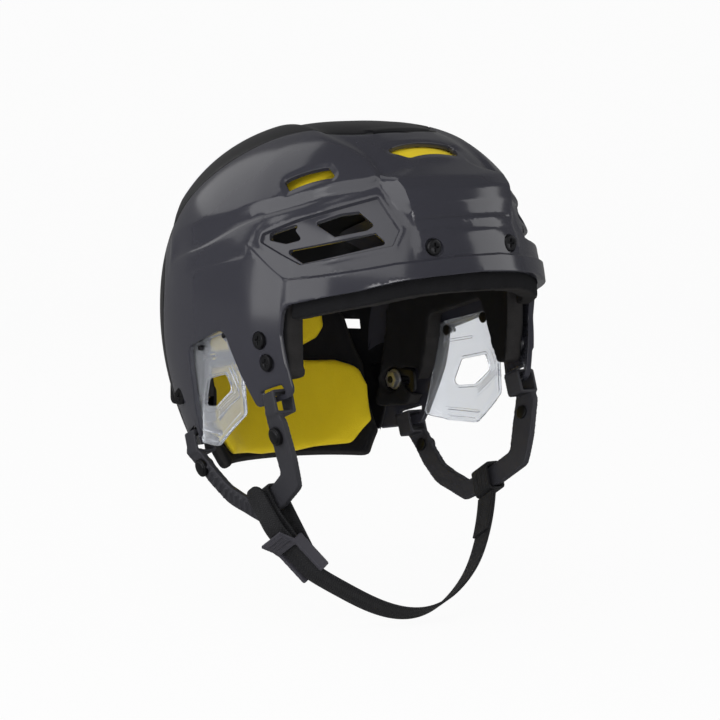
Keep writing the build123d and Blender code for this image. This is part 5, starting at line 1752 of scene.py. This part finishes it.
class HELMET_OT_straps(bpy.types.Operator):
    """Woven chin strap, its lap and the adjuster strap"""
    bl_idname = "helmet.straps"
    bl_label = "Straps"

    def execute(self, context):
        for node in ("chin_strap", "strap_lap", "adjuster_strap"):
            obj = copied(node + "_woven", [node], 0)
            if node == "chin_strap":
                before, tip = on_web(*STRAP_LINE[-2]), on_web(*STRAP_LINE[-1])
                trimmed(obj, tip, (tip - before).normalized(), WEB_ACROSS, 7.0, WEB_HALF)
            woven(obj)
            bevelled(obj, 0.25, 50, 2)
            smooth(obj, 40)
            dressed(obj, material("webbing"), "webbing", "strap", node)
        obj = joined("buckle_moulded", [copied("buckle_moulded", ["buckle"])] + buckle_ribs())
        remeshed(obj, 0.5)
        relaxed(obj, 2)
        smooth(obj, 180)
        dressed(obj, material("buckle_plastic"), "buckle_plastic", "buckle_body", "buckle")
        return {"FINISHED"}


class HELMET_OT_stage(bpy.types.Operator):
    """Pale floor, soft lamps and the camera"""
    bl_idname = "helmet.stage"
    bl_label = "Stage"

    def execute(self, context):
        scene = context.scene
        values = scene.helmet_stage
        scene.view_settings.view_transform = "Standard"
        floor = backdrop(values.azimuth)
        floor.data.materials.append(backdrop_material("floor"))
        scene.world = studio_world()
        for name, place, size, power in LAMPS:
            light = bpy.data.lights.new(name, "AREA")
            light.size = size
            light.energy = power
            lamp = bpy.data.objects.new(name, light)
            scene.collection.objects.link(lamp)
            lamp.location = place
            lamp.rotation_euler = (-Vector(place)).to_track_quat("-Z", "Y").to_euler()
        away = Vector((
            -math.sin(values.azimuth) * math.cos(values.elevation),
            -math.cos(values.azimuth) * math.cos(values.elevation),
            math.sin(values.elevation),
        ))
        camera = bpy.data.objects.new("camera", bpy.data.cameras.new("camera"))
        scene.collection.objects.link(camera)
        camera.data.lens = values.lens
        camera.data.sensor_width = 36.0
        camera.data.clip_end = 50.0
        camera.location = CAMERA_TARGET + away * values.distance
        camera.rotation_euler = (CAMERA_TARGET - camera.location).to_track_quat("-Z", "Y").to_euler()
        scene.camera = camera
        return {"FINISHED"}


class HELMET_PT_panel(bpy.types.Panel):
    """The settings and a button for each part of the model"""
    bl_idname = "HELMET_PT_panel"
    bl_label = "Helmet"
    bl_space_type = "VIEW_3D"
    bl_region_type = "UI"
    bl_category = "Helmet"

    def draw(self, context):
        layout = self.layout
        for name, group in GROUPS.items():
            column = layout.column()
            for key in group.__annotations__:
                column.prop(getattr(context.scene, name), key)
        for operator in OPERATORS:
            layout.operator(operator.bl_idname)


OPERATORS = [
    HELMET_OT_front_shell, HELMET_OT_rear_shell, HELMET_OT_foam, HELMET_OT_pads, HELMET_OT_guards,
    HELMET_OT_fasteners, HELMET_OT_harness, HELMET_OT_straps, HELMET_OT_stage,
]
GROUPS = {
    "helmet_shells": HELMET_PG_shells, "helmet_liner": HELMET_PG_liner,
    "helmet_colours": HELMET_PG_colours, "helmet_stage": HELMET_PG_stage,
}
CLASSES = [*GROUPS.values(), *OPERATORS, HELMET_PT_panel]


def register():
    """Registers every class and gives the scene its settings."""
    for item in CLASSES:
        bpy.utils.register_class(item)
    for name, group in GROUPS.items():
        setattr(bpy.types.Scene, name, bpy.props.PointerProperty(type=group))


def unregister():
    """Takes back what register did."""
    for name in GROUPS:
        delattr(bpy.types.Scene, name)
    for item in reversed(CLASSES):
        bpy.utils.unregister_class(item)


def main():
    """Builds the whole model in order."""
    register()
    bpy.ops.helmet.front_shell()
    bpy.ops.helmet.rear_shell()
    bpy.ops.helmet.foam()
    bpy.ops.helmet.pads()
    bpy.ops.helmet.guards()
    bpy.ops.helmet.fasteners()
    bpy.ops.helmet.harness()
    bpy.ops.helmet.straps()
    bpy.ops.helmet.stage()


if __name__ == "__main__":
    main()
